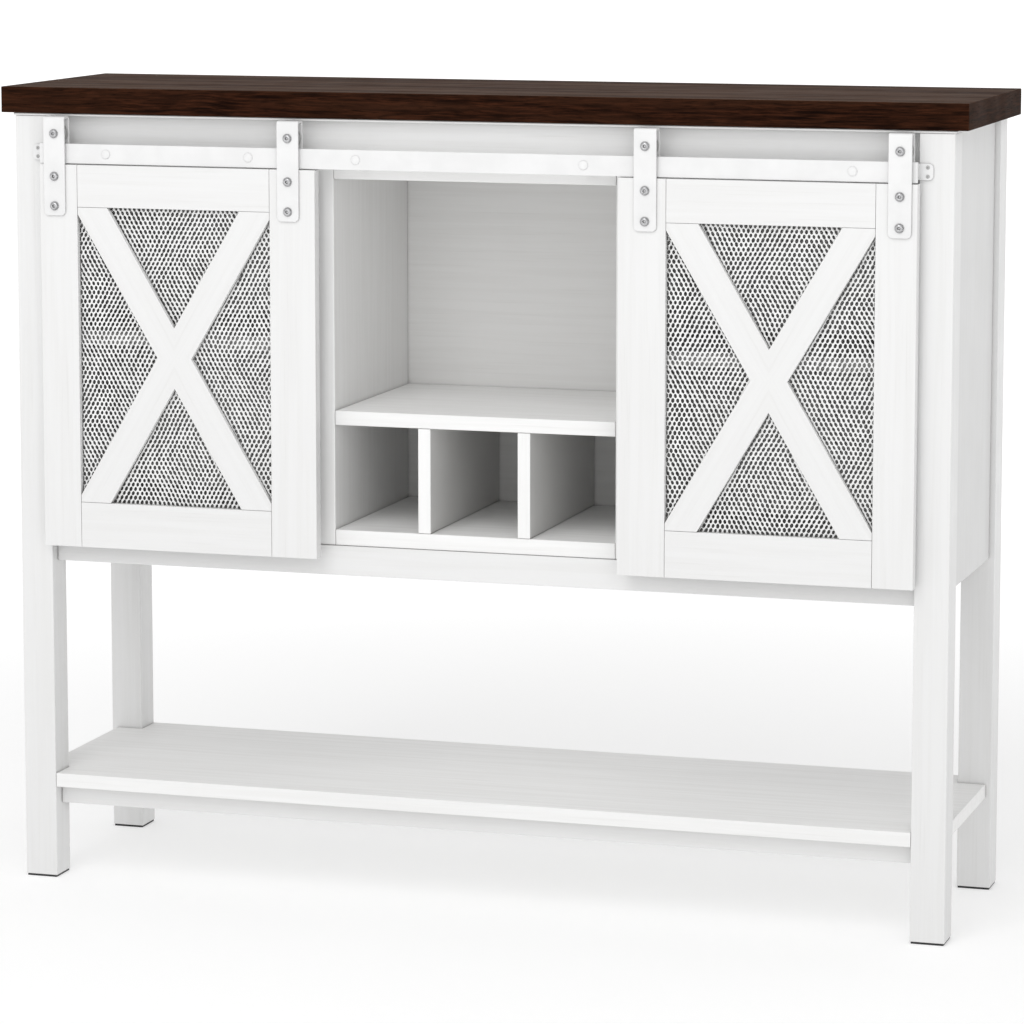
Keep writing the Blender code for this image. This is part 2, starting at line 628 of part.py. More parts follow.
def build_axle_bolt(name, axle, carriage, finishes):
    """The bolt through both leaves and the roller, with its nut at the back."""
    head_back = STRAP_FRONT_Y - FIT - axle.y
    head_front = head_back - AXLE_HEAD_HEIGHT
    nut_front = STRAP_BACK_Y + FIT - axle.y
    nut_back = nut_front + AXLE_NUT_THICKNESS
    crown = AXLE_HEAD_HEIGHT / 4
    profile = [
        (head_front, 0.0),
        (head_front, AXLE_HEAD_RADIUS * 0.7),
        (head_front + crown, AXLE_HEAD_RADIUS),
        (head_back, AXLE_HEAD_RADIUS),
        (head_back, AXLE_RADIUS),
        (nut_front, AXLE_RADIUS),
        (nut_front, AXLE_NUT_RADIUS),
        (nut_back, AXLE_NUT_RADIUS),
        (nut_back, 0.0),
    ]
    turned(name, profile, axle, finishes["zinc"], BOLT_STEPS, closed=False, parent=carriage)


# ---------------------------------------------------------------- assembly
def clear_scene():
    """Start from an empty scene."""
    for obj in list(bpy.data.objects):
        bpy.data.objects.remove(obj)


def build_sideboard():
    """Build every piece of the sideboard."""
    clear_scene()
    finishes = make_finishes()
    build_top(finishes)
    build_legs(finishes)
    build_sides_and_back(finishes)
    build_aprons(finishes)
    build_center_bay(finishes)
    build_side_bays(finishes)
    build_lower_shelf(finishes)
    build_track(finishes)
    build_door("left", SIDES["left"], LEFT_DOOR_OUTER_X, finishes)
    build_door("right", SIDES["right"], RIGHT_DOOR_OUTER_X, finishes)


build_sideboard()
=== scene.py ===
"""Looks of the sideboard buffet: its finishes, door sheets, fixings, studio light and camera.

Frame: metres, +Z up, +X to the right of a person facing the doors, doors towards -Y.
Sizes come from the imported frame's boxes; a class holds only the sizes it adds.
"""

import json
import logging
import math
from collections.abc import Iterable, Sequence
from dataclasses import dataclass
from enum import Enum
from typing import Any, ClassVar

import bmesh
import bpy
import numpy as np
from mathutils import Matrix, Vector

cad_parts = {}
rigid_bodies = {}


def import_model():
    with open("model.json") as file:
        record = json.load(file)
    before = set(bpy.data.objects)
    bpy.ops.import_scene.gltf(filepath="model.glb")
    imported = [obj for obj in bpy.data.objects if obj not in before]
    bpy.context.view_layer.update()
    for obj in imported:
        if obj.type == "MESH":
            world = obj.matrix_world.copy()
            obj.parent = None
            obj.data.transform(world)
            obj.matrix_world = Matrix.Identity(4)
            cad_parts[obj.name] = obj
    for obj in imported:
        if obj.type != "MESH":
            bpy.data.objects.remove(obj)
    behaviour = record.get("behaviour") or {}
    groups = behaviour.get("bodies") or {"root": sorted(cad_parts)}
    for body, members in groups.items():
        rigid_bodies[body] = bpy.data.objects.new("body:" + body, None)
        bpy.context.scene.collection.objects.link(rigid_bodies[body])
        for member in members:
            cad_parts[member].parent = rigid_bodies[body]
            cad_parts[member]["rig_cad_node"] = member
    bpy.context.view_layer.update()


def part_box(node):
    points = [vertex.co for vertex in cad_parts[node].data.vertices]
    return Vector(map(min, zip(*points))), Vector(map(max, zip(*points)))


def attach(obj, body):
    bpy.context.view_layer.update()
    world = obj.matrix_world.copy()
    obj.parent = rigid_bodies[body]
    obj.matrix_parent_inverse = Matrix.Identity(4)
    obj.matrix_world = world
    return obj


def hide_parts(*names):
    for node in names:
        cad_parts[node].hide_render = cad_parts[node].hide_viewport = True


FIT = 0.0003
MILLI = 0.001

Color = tuple[float, float, float]
Point = tuple[float, float, float]
Span = tuple[Any, Any]
Socket = bpy.types.NodeSocket
Sockets = dict[str, Socket]

NOISE_SPAN: Span = (0.3, 0.7)  # most of a noise's values lie in it
SMOOTH = {"interpolation_type": "SMOOTHSTEP"}
MIX_COLORS = (6, 7)  # a Mix node's colour inputs
MIX_RESULT = 2  # its colour output

log = logging.getLogger("sideboard")


# ---------------------------------------------------------------- named options
class Side(Enum):
    """The two sides of the sideboard, with the sign of x on each."""

    LEFT = -1
    RIGHT = 1

    @property
    def word(self) -> str:
        """The side as it stands in a piece's name."""
        return self.name.lower()


class Slot(Enum):
    """The record's material slots."""

    WALNUT = "walnut"
    WHITE_PAINT = "white_paint"
    INNER_PAINT = "inner_paint"
    WHITE_STEEL = "white_steel"
    MESH_STEEL = "mesh_steel"
    ZINC = "zinc"
    NYLON = "nylon"
    GLIDE = "glide"


class Grain(Enum):
    """The axis that a board's embossed grain follows."""

    ACROSS = (1.0, 0.0, 0.0)
    UPRIGHT = (0.0, 0.0, 1.0)

    def stretch(self, along: float, crosswise: float) -> Point:
        """Scale on x, y and z of a pattern with so many features per metre along and across the grain."""
        return tuple(along if part else crosswise for part in self.value)


def grey(level: float) -> Color:
    """A neutral colour."""
    return (level, level, level)


@dataclass(frozen=True)
class Layer:
    """A colour laid over another, and its greatest share."""

    color: Color
    share: float


# ---------------------------------------------------------------- node work
def named(sockets: Iterable[Socket]) -> Sockets:
    """Sockets by their names."""
    return {socket.name: socket for socket in sockets}


class Bench:
    """Adds nodes to one tree and joins them."""

    def __init__(self, tree: bpy.types.NodeTree) -> None:
        """Keep the tree to work on."""
        self.tree = tree
        self.count = 0

    def feed(self, socket: Socket, value: Any) -> None:
        """Join an output to a socket, or set the socket's own value.

        Args:
            socket: The input to feed.
            value: An output socket, a number, or a vector or colour.
        """
        if isinstance(value, bpy.types.NodeSocket):
            self.tree.links.new(value, socket)
        elif isinstance(value, Sequence) and socket.type == "RGBA":
            socket.default_value = (*value[:3], 1.0)
        else:
            socket.default_value = value

    def add(
        self, kind: str, settings: dict[str, Any] | None = None, *values: Any, **inputs: Any
    ) -> bpy.types.Node:
        """Add a node.

        Args:
            kind: The node's type without the ShaderNode prefix.
            settings: Values of the node's own properties.
            *values: What feeds the first inputs, in their order.
            **inputs: What feeds an input by name, with spaces written as underscores.

        Returns:
            The new node.
        """
        node = self.tree.nodes.new(f"ShaderNode{kind}")
        node.location = (200.0 * (self.count % 12), -220.0 * (self.count // 12))
        self.count += 1
        for name, value in (settings or {}).items():
            setattr(node, name, value)
        for socket, value in zip(node.inputs, values):
            self.feed(socket, value)
        for name, value in inputs.items():
            self.feed(node.inputs[name.replace("_", " ")], value)
        return node

    def math(self, operation: str, *values: Any) -> Socket:
        """One step of arithmetic on numbers."""
        return self.add("Math", {"operation": operation}, *values).outputs["Value"]

    def vector(self, operation: str, *values: Any) -> Socket:
        """One step of arithmetic on vectors that gives a vector."""
        return self.add("VectorMath", {"operation": operation}, *values).outputs["Vector"]

    def measure(self, operation: str, *values: Any) -> Socket:
        """One step of arithmetic on vectors that gives a number."""
        return self.add("VectorMath", {"operation": operation}, *values).outputs["Value"]

    def coordinates(self) -> Socket:
        """Places in the sideboard's own frame."""
        return self.add("TexCoord").outputs["Object"]

    def facing(self) -> Sockets:
        """The surface's own direction as X, Y and Z."""
        return named(self.add("SeparateXYZ", Vector=self.add("TexCoord").outputs["Normal"]).outputs)

    def noise(self, place: Any, scale: Any = 1.0, **layers: float) -> Socket:
        """Cloudy noise from 0 to 1, of so many features per unit of place."""
        layers = {"Detail": 3.0, "Roughness": 0.5} | layers
        return self.add("TexNoise", Vector=place, Scale=scale, **layers).outputs["Fac"]

    def fit(self, value: Any, span: Span, result: Span = (0.0, 1.0)) -> Socket:
        """Carry a value smoothly from one span to another, and hold it there."""
        return self.add("MapRange", SMOOTH, value, *span, *result).outputs["Result"]

    def blend(self, share: Any, first: Any, second: Any) -> Socket:
        """Mix two colours.

        Args:
            share: How much of the second colour.
            first: The first colour.
            second: The second colour.

        Returns:
            The mixed colour.
        """
        node = self.add("Mix", {"data_type": "RGBA"}, share)
        for index, color in zip(MIX_COLORS, (first, second)):
            self.feed(node.inputs[index], color)
        return node.outputs[MIX_RESULT]

    def lay(self, base: Any, layer: Layer, mask: Socket) -> Socket:
        """Lay a layer's colour over a base where a mask says."""
        return self.blend(self.math("MULTIPLY", mask, layer.share), base, layer.color)


@dataclass(frozen=True)
class Port:
    """One input or output of an effect."""

    name: str
    kind: str = "Float"
    value: float | None = None


class Effect:
    """A pattern that several finishes share, kept as one node group."""

    title: ClassVar[str]
    takes: ClassVar[tuple[Port, ...]]
    gives: ClassVar[tuple[Port, ...]]

    @classmethod
    def wire(cls, bench: Bench, given: Sockets) -> Sockets:
        """Make the group's nodes.

        Args:
            bench: The bench of the group's tree.
            given: The group's inputs by name.

        Returns:
            The socket behind each output, by its name.
        """
        raise NotImplementedError

    @classmethod
    def tree(cls) -> bpy.types.NodeTree:
        """Build the group the first time, and find it again later.

        Returns:
            The group's tree.
        """
        found = bpy.data.node_groups.get(cls.title)
        if found is not None:
            return found
        tree = bpy.data.node_groups.new(cls.title, "ShaderNodeTree")
        for ports, way in ((cls.takes, "INPUT"), (cls.gives, "OUTPUT")):
            for port in ports:
                kind = f"NodeSocket{port.kind}"
                socket = tree.interface.new_socket(port.name, in_out=way, socket_type=kind)
                if port.value is not None:
                    socket.default_value = port.value
        given = tree.nodes.new("NodeGroupInput")
        result = tree.nodes.new("NodeGroupOutput")
        for name, socket in cls.wire(Bench(tree), named(given.outputs)).items():
            tree.links.new(socket, result.inputs[name])
        return tree

    @classmethod
    def place(cls, bench: Bench, **values: Any) -> Sockets:
        """Put the effect into a material with these inputs, and give its outputs by name."""
        return named(bench.add("Group", {"node_tree": cls.tree()}, **values).outputs)


class PieceShift(Effect):
    """Coordinates moved by a chance amount for each piece, so that no two boards match."""

    title = "piece_shift"
    takes = (Port("Amount", value=7.0),)
    gives = (Port("Place", "Vector"),)

    @classmethod
    def wire(cls, bench: Bench, given: Sockets) -> Sockets:
        """Add the piece's own random number to its coordinates."""
        shift = bench.math("MULTIPLY", bench.add("ObjectInfo").outputs["Random"], given["Amount"])
        return {"Place": bench.vector("ADD", bench.coordinates(), shift)}


class EmbossedGrain(Effect):
    """Pressed wood grain: long fine pores over slow ridges."""

    title = "embossed_grain"
    takes = (Port("Place", "Vector"), Port("Fine", "Vector"), Port("Slow", "Vector"))
    gives = (Port("Height"), Port("Tone"), Port("Pores"))
    pore_span: ClassVar[Span] = (0.56, 0.72)
    patch_span: ClassVar[Span] = (0.35, 0.65)
    ridge_share: ClassVar[float] = 0.6

    @classmethod
    def wire(cls, bench: Bench, given: Sockets) -> Sockets:
        """Lay pores over ridges, with slow changes of tone between them.

        Args:
            bench: The bench of the group's tree.
            given: The group's inputs by name.

        Returns:
            The height, the tone and the pores.
        """
        fine_place = bench.vector("MULTIPLY", given["Place"], given["Fine"])
        slow_place = bench.vector("MULTIPLY", given["Place"], given["Slow"])
        fine = bench.noise(fine_place, Detail=2.0, Roughness=0.6)
        slow = bench.noise(slow_place, Roughness=0.55, Distortion=0.4)
        marked = bench.math("MULTIPLY", bench.fit(fine, cls.pore_span), bench.fit(slow, cls.patch_span))
        raised = bench.math("ADD", bench.math("MULTIPLY", slow, cls.ridge_share), fine)
        return {"Height": bench.math("SUBTRACT", raised, marked), "Tone": slow, "Pores": marked}


class EdgeWear(Effect):
    """A thin broken line along a piece's edges, where the coat is rubbed."""

    title = "edge_wear"
    takes = (Port("Width"), Port("Breakup", value=90.0))
    gives = (Port("Edge"),)
    agreement_span: ClassVar[Span] = (0.995, 0.86)
    chip_span: ClassVar[Span] = (0.38, 0.62)

    @classmethod
    def wire(cls, bench: Bench, given: Sockets) -> Sockets:
        """Compare the true surface with a rounded one, and break the line up with noise.

        Args:
            bench: The bench of the group's tree.
            given: The group's inputs by name.

        Returns:
            The rubbed edge.
        """
        rounded = bench.add("Bevel", {"samples": 4}, Radius=given["Width"]).outputs["Normal"]
        agreement = bench.measure("DOT_PRODUCT", rounded, bench.add("NewGeometry").outputs["Normal"])
        chips = bench.fit(bench.noise(bench.coordinates(), given["Breakup"]), cls.chip_span)
        return {"Edge": bench.math("MULTIPLY", bench.fit(agreement, cls.agreement_span), chips)}


class SettledDust(Effect):
    """A faint uneven film on faces that look up."""

    title = "settled_dust"
    takes = (Port("Place", "Vector"), Port("Amount"), Port("Evenness", value=0.35))
    gives = (Port("Film"),)
    upward_span: ClassVar[Span] = (0.6, 0.98)
    blotch_span: ClassVar[Span] = (0.3, 0.75)
    blotches_per_metre: ClassVar[float] = 9.0

    @classmethod
    def wire(cls, bench: Bench, given: Sockets) -> Sockets:
        """Mask by the upward part of the surface's direction, and blotch it.

        Args:
            bench: The bench of the group's tree.
            given: The group's inputs by name.

        Returns:
            The film.
        """
        upward = bench.fit(bench.facing()["Z"], cls.upward_span)
        blotches = bench.noise(given["Place"], cls.blotches_per_metre, Detail=5.0)
        patchy = bench.fit(blotches, cls.blotch_span, (given["Evenness"], 1.0))
        return {"Film": bench.math("MULTIPLY", bench.math("MULTIPLY", upward, patchy), given["Amount"])}


class HandlingMarks(Effect):
    """Smears and hairline scratches that change the gloss."""

    title = "handling_marks"
    takes = (Port("Place", "Vector"), Port("Fineness", value=700.0))
    gives = (Port("Smears"), Port("Scratches"))
    smears_per_metre: ClassVar[float] = 22.0
    scratches_along: ClassVar[float] = 40.0
    scratch_span: ClassVar[Span] = (0.66, 0.78)

    @classmethod
    def wire(cls, bench: Bench, given: Sockets) -> Sockets:
        """Cloudy smears, and long thin scratches that run mostly level.

        Args:
            bench: The bench of the group's tree.
            given: The group's inputs by name.

        Returns:
            The smears and the scratches.
        """
        smears = bench.noise(given["Place"], cls.smears_per_metre, Detail=4.0)
        fineness = given["Fineness"]
        stretch = bench.add("CombineXYZ", X=cls.scratches_along, Y=fineness, Z=fineness).outputs["Vector"]
        hair = bench.noise(bench.vector("MULTIPLY", given["Place"], stretch), Detail=1.0)
        return {"Smears": smears, "Scratches": bench.fit(hair, cls.scratch_span)}


class RecessGrime(Effect):
    """Painted shade in sockets, under collars, in corners and in joints, where little light reaches."""

    title = "recess_grime"
    takes = (Port("Reach"), Port("Full", value=0.25))
    gives = (Port("Grime"),)
    # Openness above which there is no painted shade.
    clean: ClassVar[float] = 0.82

    @classmethod
    def wire(cls, bench: Bench, given: Sockets) -> Sockets:
        """Mask by how closed in the surface is."""
        # The occlusion mask darkens closed-in places: painted shade.
        shelter = bench.add("AmbientOcclusion", {"samples": 6}, Distance=given["Reach"]).outputs["AO"]
        return {"Grime": bench.fit(shelter, (cls.clean, given["Full"]))}


class SprayedSkin(Effect):
    """The fine pebbled skin of a sprayed coat."""

    title = "sprayed_skin"
    takes = (Port("Place", "Vector"), Port("Pebbles"))
    gives = (Port("Height"), Port("Tone"))
    clouds_per_metre: ClassVar[float] = 35.0

    @classmethod
    def wire(cls, bench: Bench, given: Sockets) -> Sockets:
        """Fine noise for the pebbles and slow noise for the coat's thickness."""
        pebbles = bench.noise(given["Place"], given["Pebbles"], Detail=2.0)
        return {"Height": pebbles, "Tone": bench.noise(given["Place"], cls.clouds_per_metre)}


# ---------------------------------------------------------------- finishes
@dataclass(frozen=True)
class Finish:
    """A surface with its own shader. Subclasses add the pattern."""

    title: str
    slot: Slot
    color: Color
    roughness: float
    metallic: float = 0.0
    relief: float = 0.0002
    relief_strength: float = 0.3
    gloss_drift: Span = (-0.05, 0.08)

    def shade(self, bench: Bench, shader: bpy.types.Node) -> None:
        """Feed the shader's sockets.

        Args:
            bench: The material's bench.
            shader: The Principled shader of the material.
        """
        raise NotImplementedError

    def material(self) -> bpy.types.Material:
        """Build the material the first time, and find it again later.

        Returns:
            The finish's material.
        """
        found = bpy.data.materials.get(self.title)
        if found is not None:
            return found
        material = bpy.data.materials.new(self.title)
        material.use_nodes = True
        tree = material.node_tree
        tree.nodes.clear()
        bench = Bench(tree)
        shader = bench.add("BsdfPrincipled", Roughness=self.roughness, Metallic=self.metallic)
        bench.feed(shader.inputs["Base Color"], self.color)
        self.shade(bench, shader)
        output = bench.add("OutputMaterial")
        tree.links.new(shader.outputs["BSDF"], output.inputs["Surface"])
        material.diffuse_color = (*self.color, 1.0)
        return material

    def bump(self, bench: Bench, shader: bpy.types.Node, height: Socket) -> None:
        """Raise the surface by a height pattern."""
        bump = bench.add("Bump", Height=height, Distance=self.relief, Strength=self.relief_strength)
        bench.feed(shader.inputs["Normal"], bump.outputs["Normal"])

    def gloss(self, bench: Bench, pattern: Socket) -> Socket:
        """Roughness that drifts with a pattern."""
        return bench.fit(pattern, NOISE_SPAN, tuple(self.roughness + drift for drift in self.gloss_drift))

    def tinted(self, factor: float) -> Color:
        """The finish's colour made lighter or darker by a factor."""
        return tuple(min(1.0, part * factor) for part in self.color)

    def dress(self, *objects: bpy.types.Object) -> None:
        """Give objects this finish.

        Args:
            *objects: The nodes and pieces to dress.
        """
        for obj in objects:
            obj.data.materials.clear()
            obj.data.materials.append(self.material())


@dataclass(frozen=True)
class Paint(Finish):
    """White foil pressed with wood grain, on a board that runs along one axis."""

    relief: float = 0.00016
    relief_strength: float = 0.22
    gloss_drift: Span = (-0.04, 0.06)
    grain: Grain = Grain.UPRIGHT
    # front_color: a lit colour for front faces, against the board's own colour in painted shade.
    front_color: Color | None = None
    front_span: Span = (-0.5, -0.8)
    tone_span: Span = (0.34, 0.66)
    tone: Layer = Layer((0.62, 0.61, 0.59), 0.15)
    pore: Layer = Layer((0.5, 0.49, 0.47), 0.12)
    # Lighter edges: partly a rubbed coat, partly a painted highlight.
    rub: Layer = Layer((0.93, 0.925, 0.91), 0.25)
    dust: Layer = Layer((0.66, 0.64, 0.61), 0.04)
    # Painted shade in corners, in joints and under parts.
    crevice: Layer = Layer((0.22, 0.21, 0.20), 0.42)
    crevice_reach: float = 0.006
    edge_width: float = 0.0011
    dust_dulling: float = 0.2

    def grain_place(self, bench: Bench) -> Socket:
        """Coordinates that the grain is drawn in."""
        return PieceShift.place(bench)["Place"]

    def shade(self, bench: Bench, shader: bpy.types.Node) -> None:
        """Grain in tone, gloss and relief, lighter edges that are partly a rubbed coat and partly a painted
        highlight, a faint film of dust, and painted shade in corners and joints.

        Args:
            bench: The material's bench.
            shader: The material's shader.
        """
        place = self.grain_place(bench)
        fine = self.grain.stretch(along=9.0, crosswise=460.0)
        slow = self.grain.stretch(along=4.5, crosswise=130.0)
        grain = EmbossedGrain.place(bench, Place=place, Fine=fine, Slow=slow)
        film = SettledDust.place(bench, Place=place, Amount=0.35)["Film"]
        base: Any = self.color
        # Front faces lighter than the rest of the board: painted light and shade.
        if self.front_color is not None:
            base = bench.blend(bench.fit(bench.facing()["Y"], self.front_span), base, self.front_color)
        toned = bench.lay(base, self.tone, bench.fit(grain["Tone"], self.tone_span))
        pored = bench.lay(toned, self.pore, grain["Pores"])
        # Edges lighter: partly rubbed coat, partly painted highlight.
        rubbed = bench.lay(pored, self.rub, EdgeWear.place(bench, Width=self.edge_width)["Edge"])
        upward_filmed = bench.lay(rubbed, self.dust, film)
        # Painted shade in corners and joints.
        painted_shade = RecessGrime.place(bench, Reach=self.crevice_reach)["Grime"]
        bench.feed(shader.inputs["Base Color"], bench.lay(upward_filmed, self.crevice, painted_shade))
        gloss = self.gloss(bench, HandlingMarks.place(bench, Place=place)["Smears"])
        bench.feed(shader.inputs["Roughness"], bench.math("MULTIPLY_ADD", film, self.dust_dulling, gloss))
        self.bump(bench, shader, grain["Height"])


@dataclass(frozen=True)
class BracePaint(Paint):
    """Paint whose grain follows the four arms of an X brace out from its middle."""

    middle: Point = (0.0, 0.0, 0.0)
    arm_angle: float = 1.0

    def grain_place(self, bench: Bench) -> Socket:
        """Fold the X onto one arm, and turn that arm upright.

        Args:
            bench: The material's bench.

        Returns:
            The turned coordinates.
        """
        folded = bench.vector("ABSOLUTE", bench.vector("SUBTRACT", bench.coordinates(), self.middle))
        turn = bench.add("VectorRotate", {"rotation_type": "Y_AXIS"}, Vector=folded, Angle=self.arm_angle)
        return turn.outputs["Vector"]


@dataclass(frozen=True)
class Walnut(Finish):
    """Dark walnut print: wavy streaks along the board, and along the depth on its ends."""

    gloss_drift: Span = (-0.05, 0.07)
    dark: Color = (0.0050, 0.0016, 0.0008)
    red: Color = (0.044, 0.0140, 0.0062)
    streak_span: Span = (0.36, 0.66)
    warm: Layer = Layer((0.036, 0.0135, 0.0065), 0.55)
    warm_span: Span = (0.40, 0.64)
    pore_span: Span = (0.52, 0.70)
    pore_share: float = 0.8
    bleached: Layer = Layer((0.050, 0.033, 0.023), 0.22)
    # Lighter colour on upward faces: partly dust, partly painted light on the top.
    film: Color = (0.40, 0.275, 0.205)
    film_span: Span = (0.36, 0.64)
    film_share: Span = (0.17, 0.44)
    worn: Layer = Layer((0.14, 0.072, 0.042), 0.35)
    reflection: float = 0.03
    bends: Point = (13.0, 13.0, 30.0)
    sway: float = 0.006
    thinness: float = 19.0
    streaks_per_metre: float = 19.0
    pores_per_metre: float = 48.0
    patches_per_metre: float = 3.0
    scratch_dulling: float = 0.12
    pore_dulling: float = 0.1
    end_facing: float = 0.6

    def run(self, bench: Bench, place: Socket, on_end: Socket) -> Socket:
        """Coordinates drawn out along the streaks.

        Args:
            bench: The material's bench.
            place: The board's coordinates.
            on_end: 1 on the board's ends, and 0 elsewhere.

        Returns:
            Coordinates that change slowly along the streaks and fast across them.
        """
        bend = bench.noise(bench.vector("MULTIPLY", place, self.bends), Detail=2.0)
        bent = bench.math("MULTIPLY", bench.math("SUBTRACT", bend, 0.5), self.sway)
        swayed = bench.vector("ADD", place, bench.add("CombineXYZ", X=0.0, Y=bent, Z=bent).outputs["Vector"])
        cross = bench.math("MULTIPLY_ADD", on_end, self.thinness - 1.0, 1.0)
        along = bench.math("SUBTRACT", self.thinness + 1.0, cross)
        stretch = bench.add("CombineXYZ", X=cross, Y=along, Z=self.thinness).outputs["Vector"]
        return bench.vector("MULTIPLY", swayed, stretch)

    def streak_colors(self, bench: Bench, streaks: Socket) -> Socket:
        """Colours from the dark streaks through the plain ones to the red ones.

        Args:
            bench: The material's bench.
            streaks: The streak pattern.

        Returns:
            The streaks' colour.
        """
        ramp = bench.add("ValToRGB", Fac=streaks)
        stops = ramp.color_ramp.elements
        stops[0].position, stops[0].color = self.streak_span[0], (*self.dark, 1.0)
        stops[1].position, stops[1].color = self.streak_span[1], (*self.red, 1.0)
        stops.new(0.5).color = (*self.color, 1.0)
        return ramp.outputs["Color"]

    def shade(self, bench: Bench, shader: bpy.types.Node) -> None:
        """Streaks, pores, slow patches, worn edges, and a lighter film on upward faces that is partly dust
        and partly painted light on the top.

        Args:
            bench: The material's bench.
            shader: The material's shader.
        """
        shader.inputs["Specular IOR Level"].default_value = self.reflection
        place = PieceShift.place(bench, Amount=3.0)["Place"]
        on_end = bench.math("GREATER_THAN", bench.math("ABSOLUTE", bench.facing()["X"]), self.end_facing)
        run = self.run(bench, place, on_end)
        streaks = bench.noise(run, self.streaks_per_metre, Detail=4.0, Roughness=0.65)
        fine = bench.noise(run, self.pores_per_metre, Roughness=0.6)
        patches = bench.noise(run, self.patches_per_metre, Detail=2.0)
        streaked = self.streak_colors(bench, streaks)
        patched = bench.lay(streaked, self.warm, bench.fit(patches, self.warm_span))
        pores = bench.fit(fine, self.pore_span, (0.0, self.pore_share))
        greyed = bench.lay(bench.blend(pores, patched, self.dark), self.bleached, on_end)
        # Upward faces lightened: partly dust, partly painted light on the top.
        film = SettledDust.place(bench, Place=place, Amount=0.4, Evenness=0.85)["Film"]
        dust_and_top_light = bench.math("MULTIPLY", film, bench.fit(patches, self.film_span, self.film_share))
        upward_filmed = bench.blend(dust_and_top_light, greyed, self.film)
        edge = EdgeWear.place(bench, Width=0.0016, Breakup=70.0)["Edge"]
        bench.feed(shader.inputs["Base Color"], bench.lay(upward_filmed, self.worn, edge))
        marks = HandlingMarks.place(bench, Place=place, Fineness=520.0)
        gloss = self.gloss(bench, marks["Smears"])
        scratched = bench.math("MULTIPLY_ADD", marks["Scratches"], self.scratch_dulling, gloss)
        dulled = bench.math("MULTIPLY_ADD", pores, self.pore_dulling, scratched)
        bench.feed(shader.inputs["Roughness"], dulled)
        self.bump(bench, shader, bench.math("SUBTRACT", streaks, pores))


@dataclass(frozen=True)
class Sprayed(Finish):
    """A sprayed or moulded skin, with slow changes of tone and rubbed edges."""

    pebbles: float = 900.0
    thin_coat: float = 0.95
    rubbed: Layer = Layer(grey(0.95), 0.3)
    # Painted shade in recesses and corners.
    recess: Layer = Layer(grey(0.10), 0.0)
    recess_reach: float = 0.0020
    recess_full: float = 0.45

    def shade(self, bench: Bench, shader: bpy.types.Node) -> None:
        """Pebbled relief, tone and gloss that drift, rubbed edges and painted shade in recesses.

        Args:
            bench: The material's bench.
            shader: The material's shader.
        """
        place = PieceShift.place(bench)["Place"]
        skin = SprayedSkin.place(bench, Place=place, Pebbles=self.pebbles)
        edge = EdgeWear.place(bench, Width=0.0007, Breakup=240.0)["Edge"]
        marks = HandlingMarks.place(bench, Place=place, Fineness=1100.0)
        drift = bench.blend(bench.fit(skin["Tone"], NOISE_SPAN), self.color, self.tinted(self.thin_coat))
        # Painted shade where little light reaches.
        painted_shade = RecessGrime.place(bench, Reach=self.recess_reach, Full=self.recess_full)["Grime"]
        with_painted_shade = bench.lay(bench.lay(drift, self.rubbed, edge), self.recess, painted_shade)
        bench.feed(shader.inputs["Base Color"], with_painted_shade)
        bench.feed(shader.inputs["Roughness"], self.gloss(bench, marks["Smears"]))
        self.bump(bench, shader, skin["Height"])


@dataclass(frozen=True)
class Zinc(Finish):
    """Plated steel with hairline scratches, bright edges and painted shade in the recesses."""

    gloss_drift: Span = (-0.06, 0.10)
    blooms_per_metre: float = 380.0
    bloom_span: Span = (0.35, 0.7)
    bloom_tone: float = 0.72
    bright: Layer = Layer((0.80, 0.80, 0.79), 0.6)
    # Painted shade in sockets and under collars.
    dirt: Color = (0.045, 0.043, 0.04)
    scratch_dulling: float = 0.15

    def shade(self, bench: Bench, shader: bpy.types.Node) -> None:
        """Patchy plating, scratched gloss and dark painted shade in the recesses, away from the edges.

        Args:
            bench: The material's bench.
            shader: The material's shader.
        """
        place = PieceShift.place(bench)["Place"]
        scratches = HandlingMarks.place(bench, Place=place, Fineness=2600.0)["Scratches"]
        edge = EdgeWear.place(bench, Width=0.0005, Breakup=500.0)["Edge"]
        bloom = bench.noise(place, self.blooms_per_metre)
        plated = bench.blend(bench.fit(bloom, self.bloom_span), self.color, self.tinted(self.bloom_tone))
        # Painted shade in the socket, in the grooves and under the collar.
        painted_shade = RecessGrime.place(bench, Reach=0.0014, Full=0.60)["Grime"]
        with_painted_shade = bench.blend(painted_shade, bench.lay(plated, self.bright, edge), self.dirt)
        bench.feed(shader.inputs["Base Color"], with_painted_shade)
        roughness = bench.math("MULTIPLY_ADD", scratches, self.scratch_dulling, self.gloss(bench, bloom))
        bench.feed(shader.inputs["Roughness"], roughness)
        self.bump(bench, shader, scratches)


class Board(Enum):
    """Boards with a foil of their own: one white foil with painted light and shade by where the board sits,
    its grain, and whether its front faces keep a lit colour.
    """

    # Decks are painted lighter; panels, walls, dividers, back and hidden boards are painted darker: painted
    # light and shade on one white foil.
    DECK = ((0.89, 0.888, 0.882), Grain.ACROSS, True)
    PANEL = ((0.69, 0.69, 0.688), Grain.UPRIGHT, False)
    WALL = ((0.775, 0.773, 0.767), Grain.UPRIGHT, True)
    DIVIDER = ((0.61, 0.607, 0.597), Grain.UPRIGHT, True)
    BACK = ((0.78, 0.777, 0.768), Grain.ACROSS, False)
    HIDDEN = ((0.38, 0.377, 0.37), Grain.ACROSS, False)


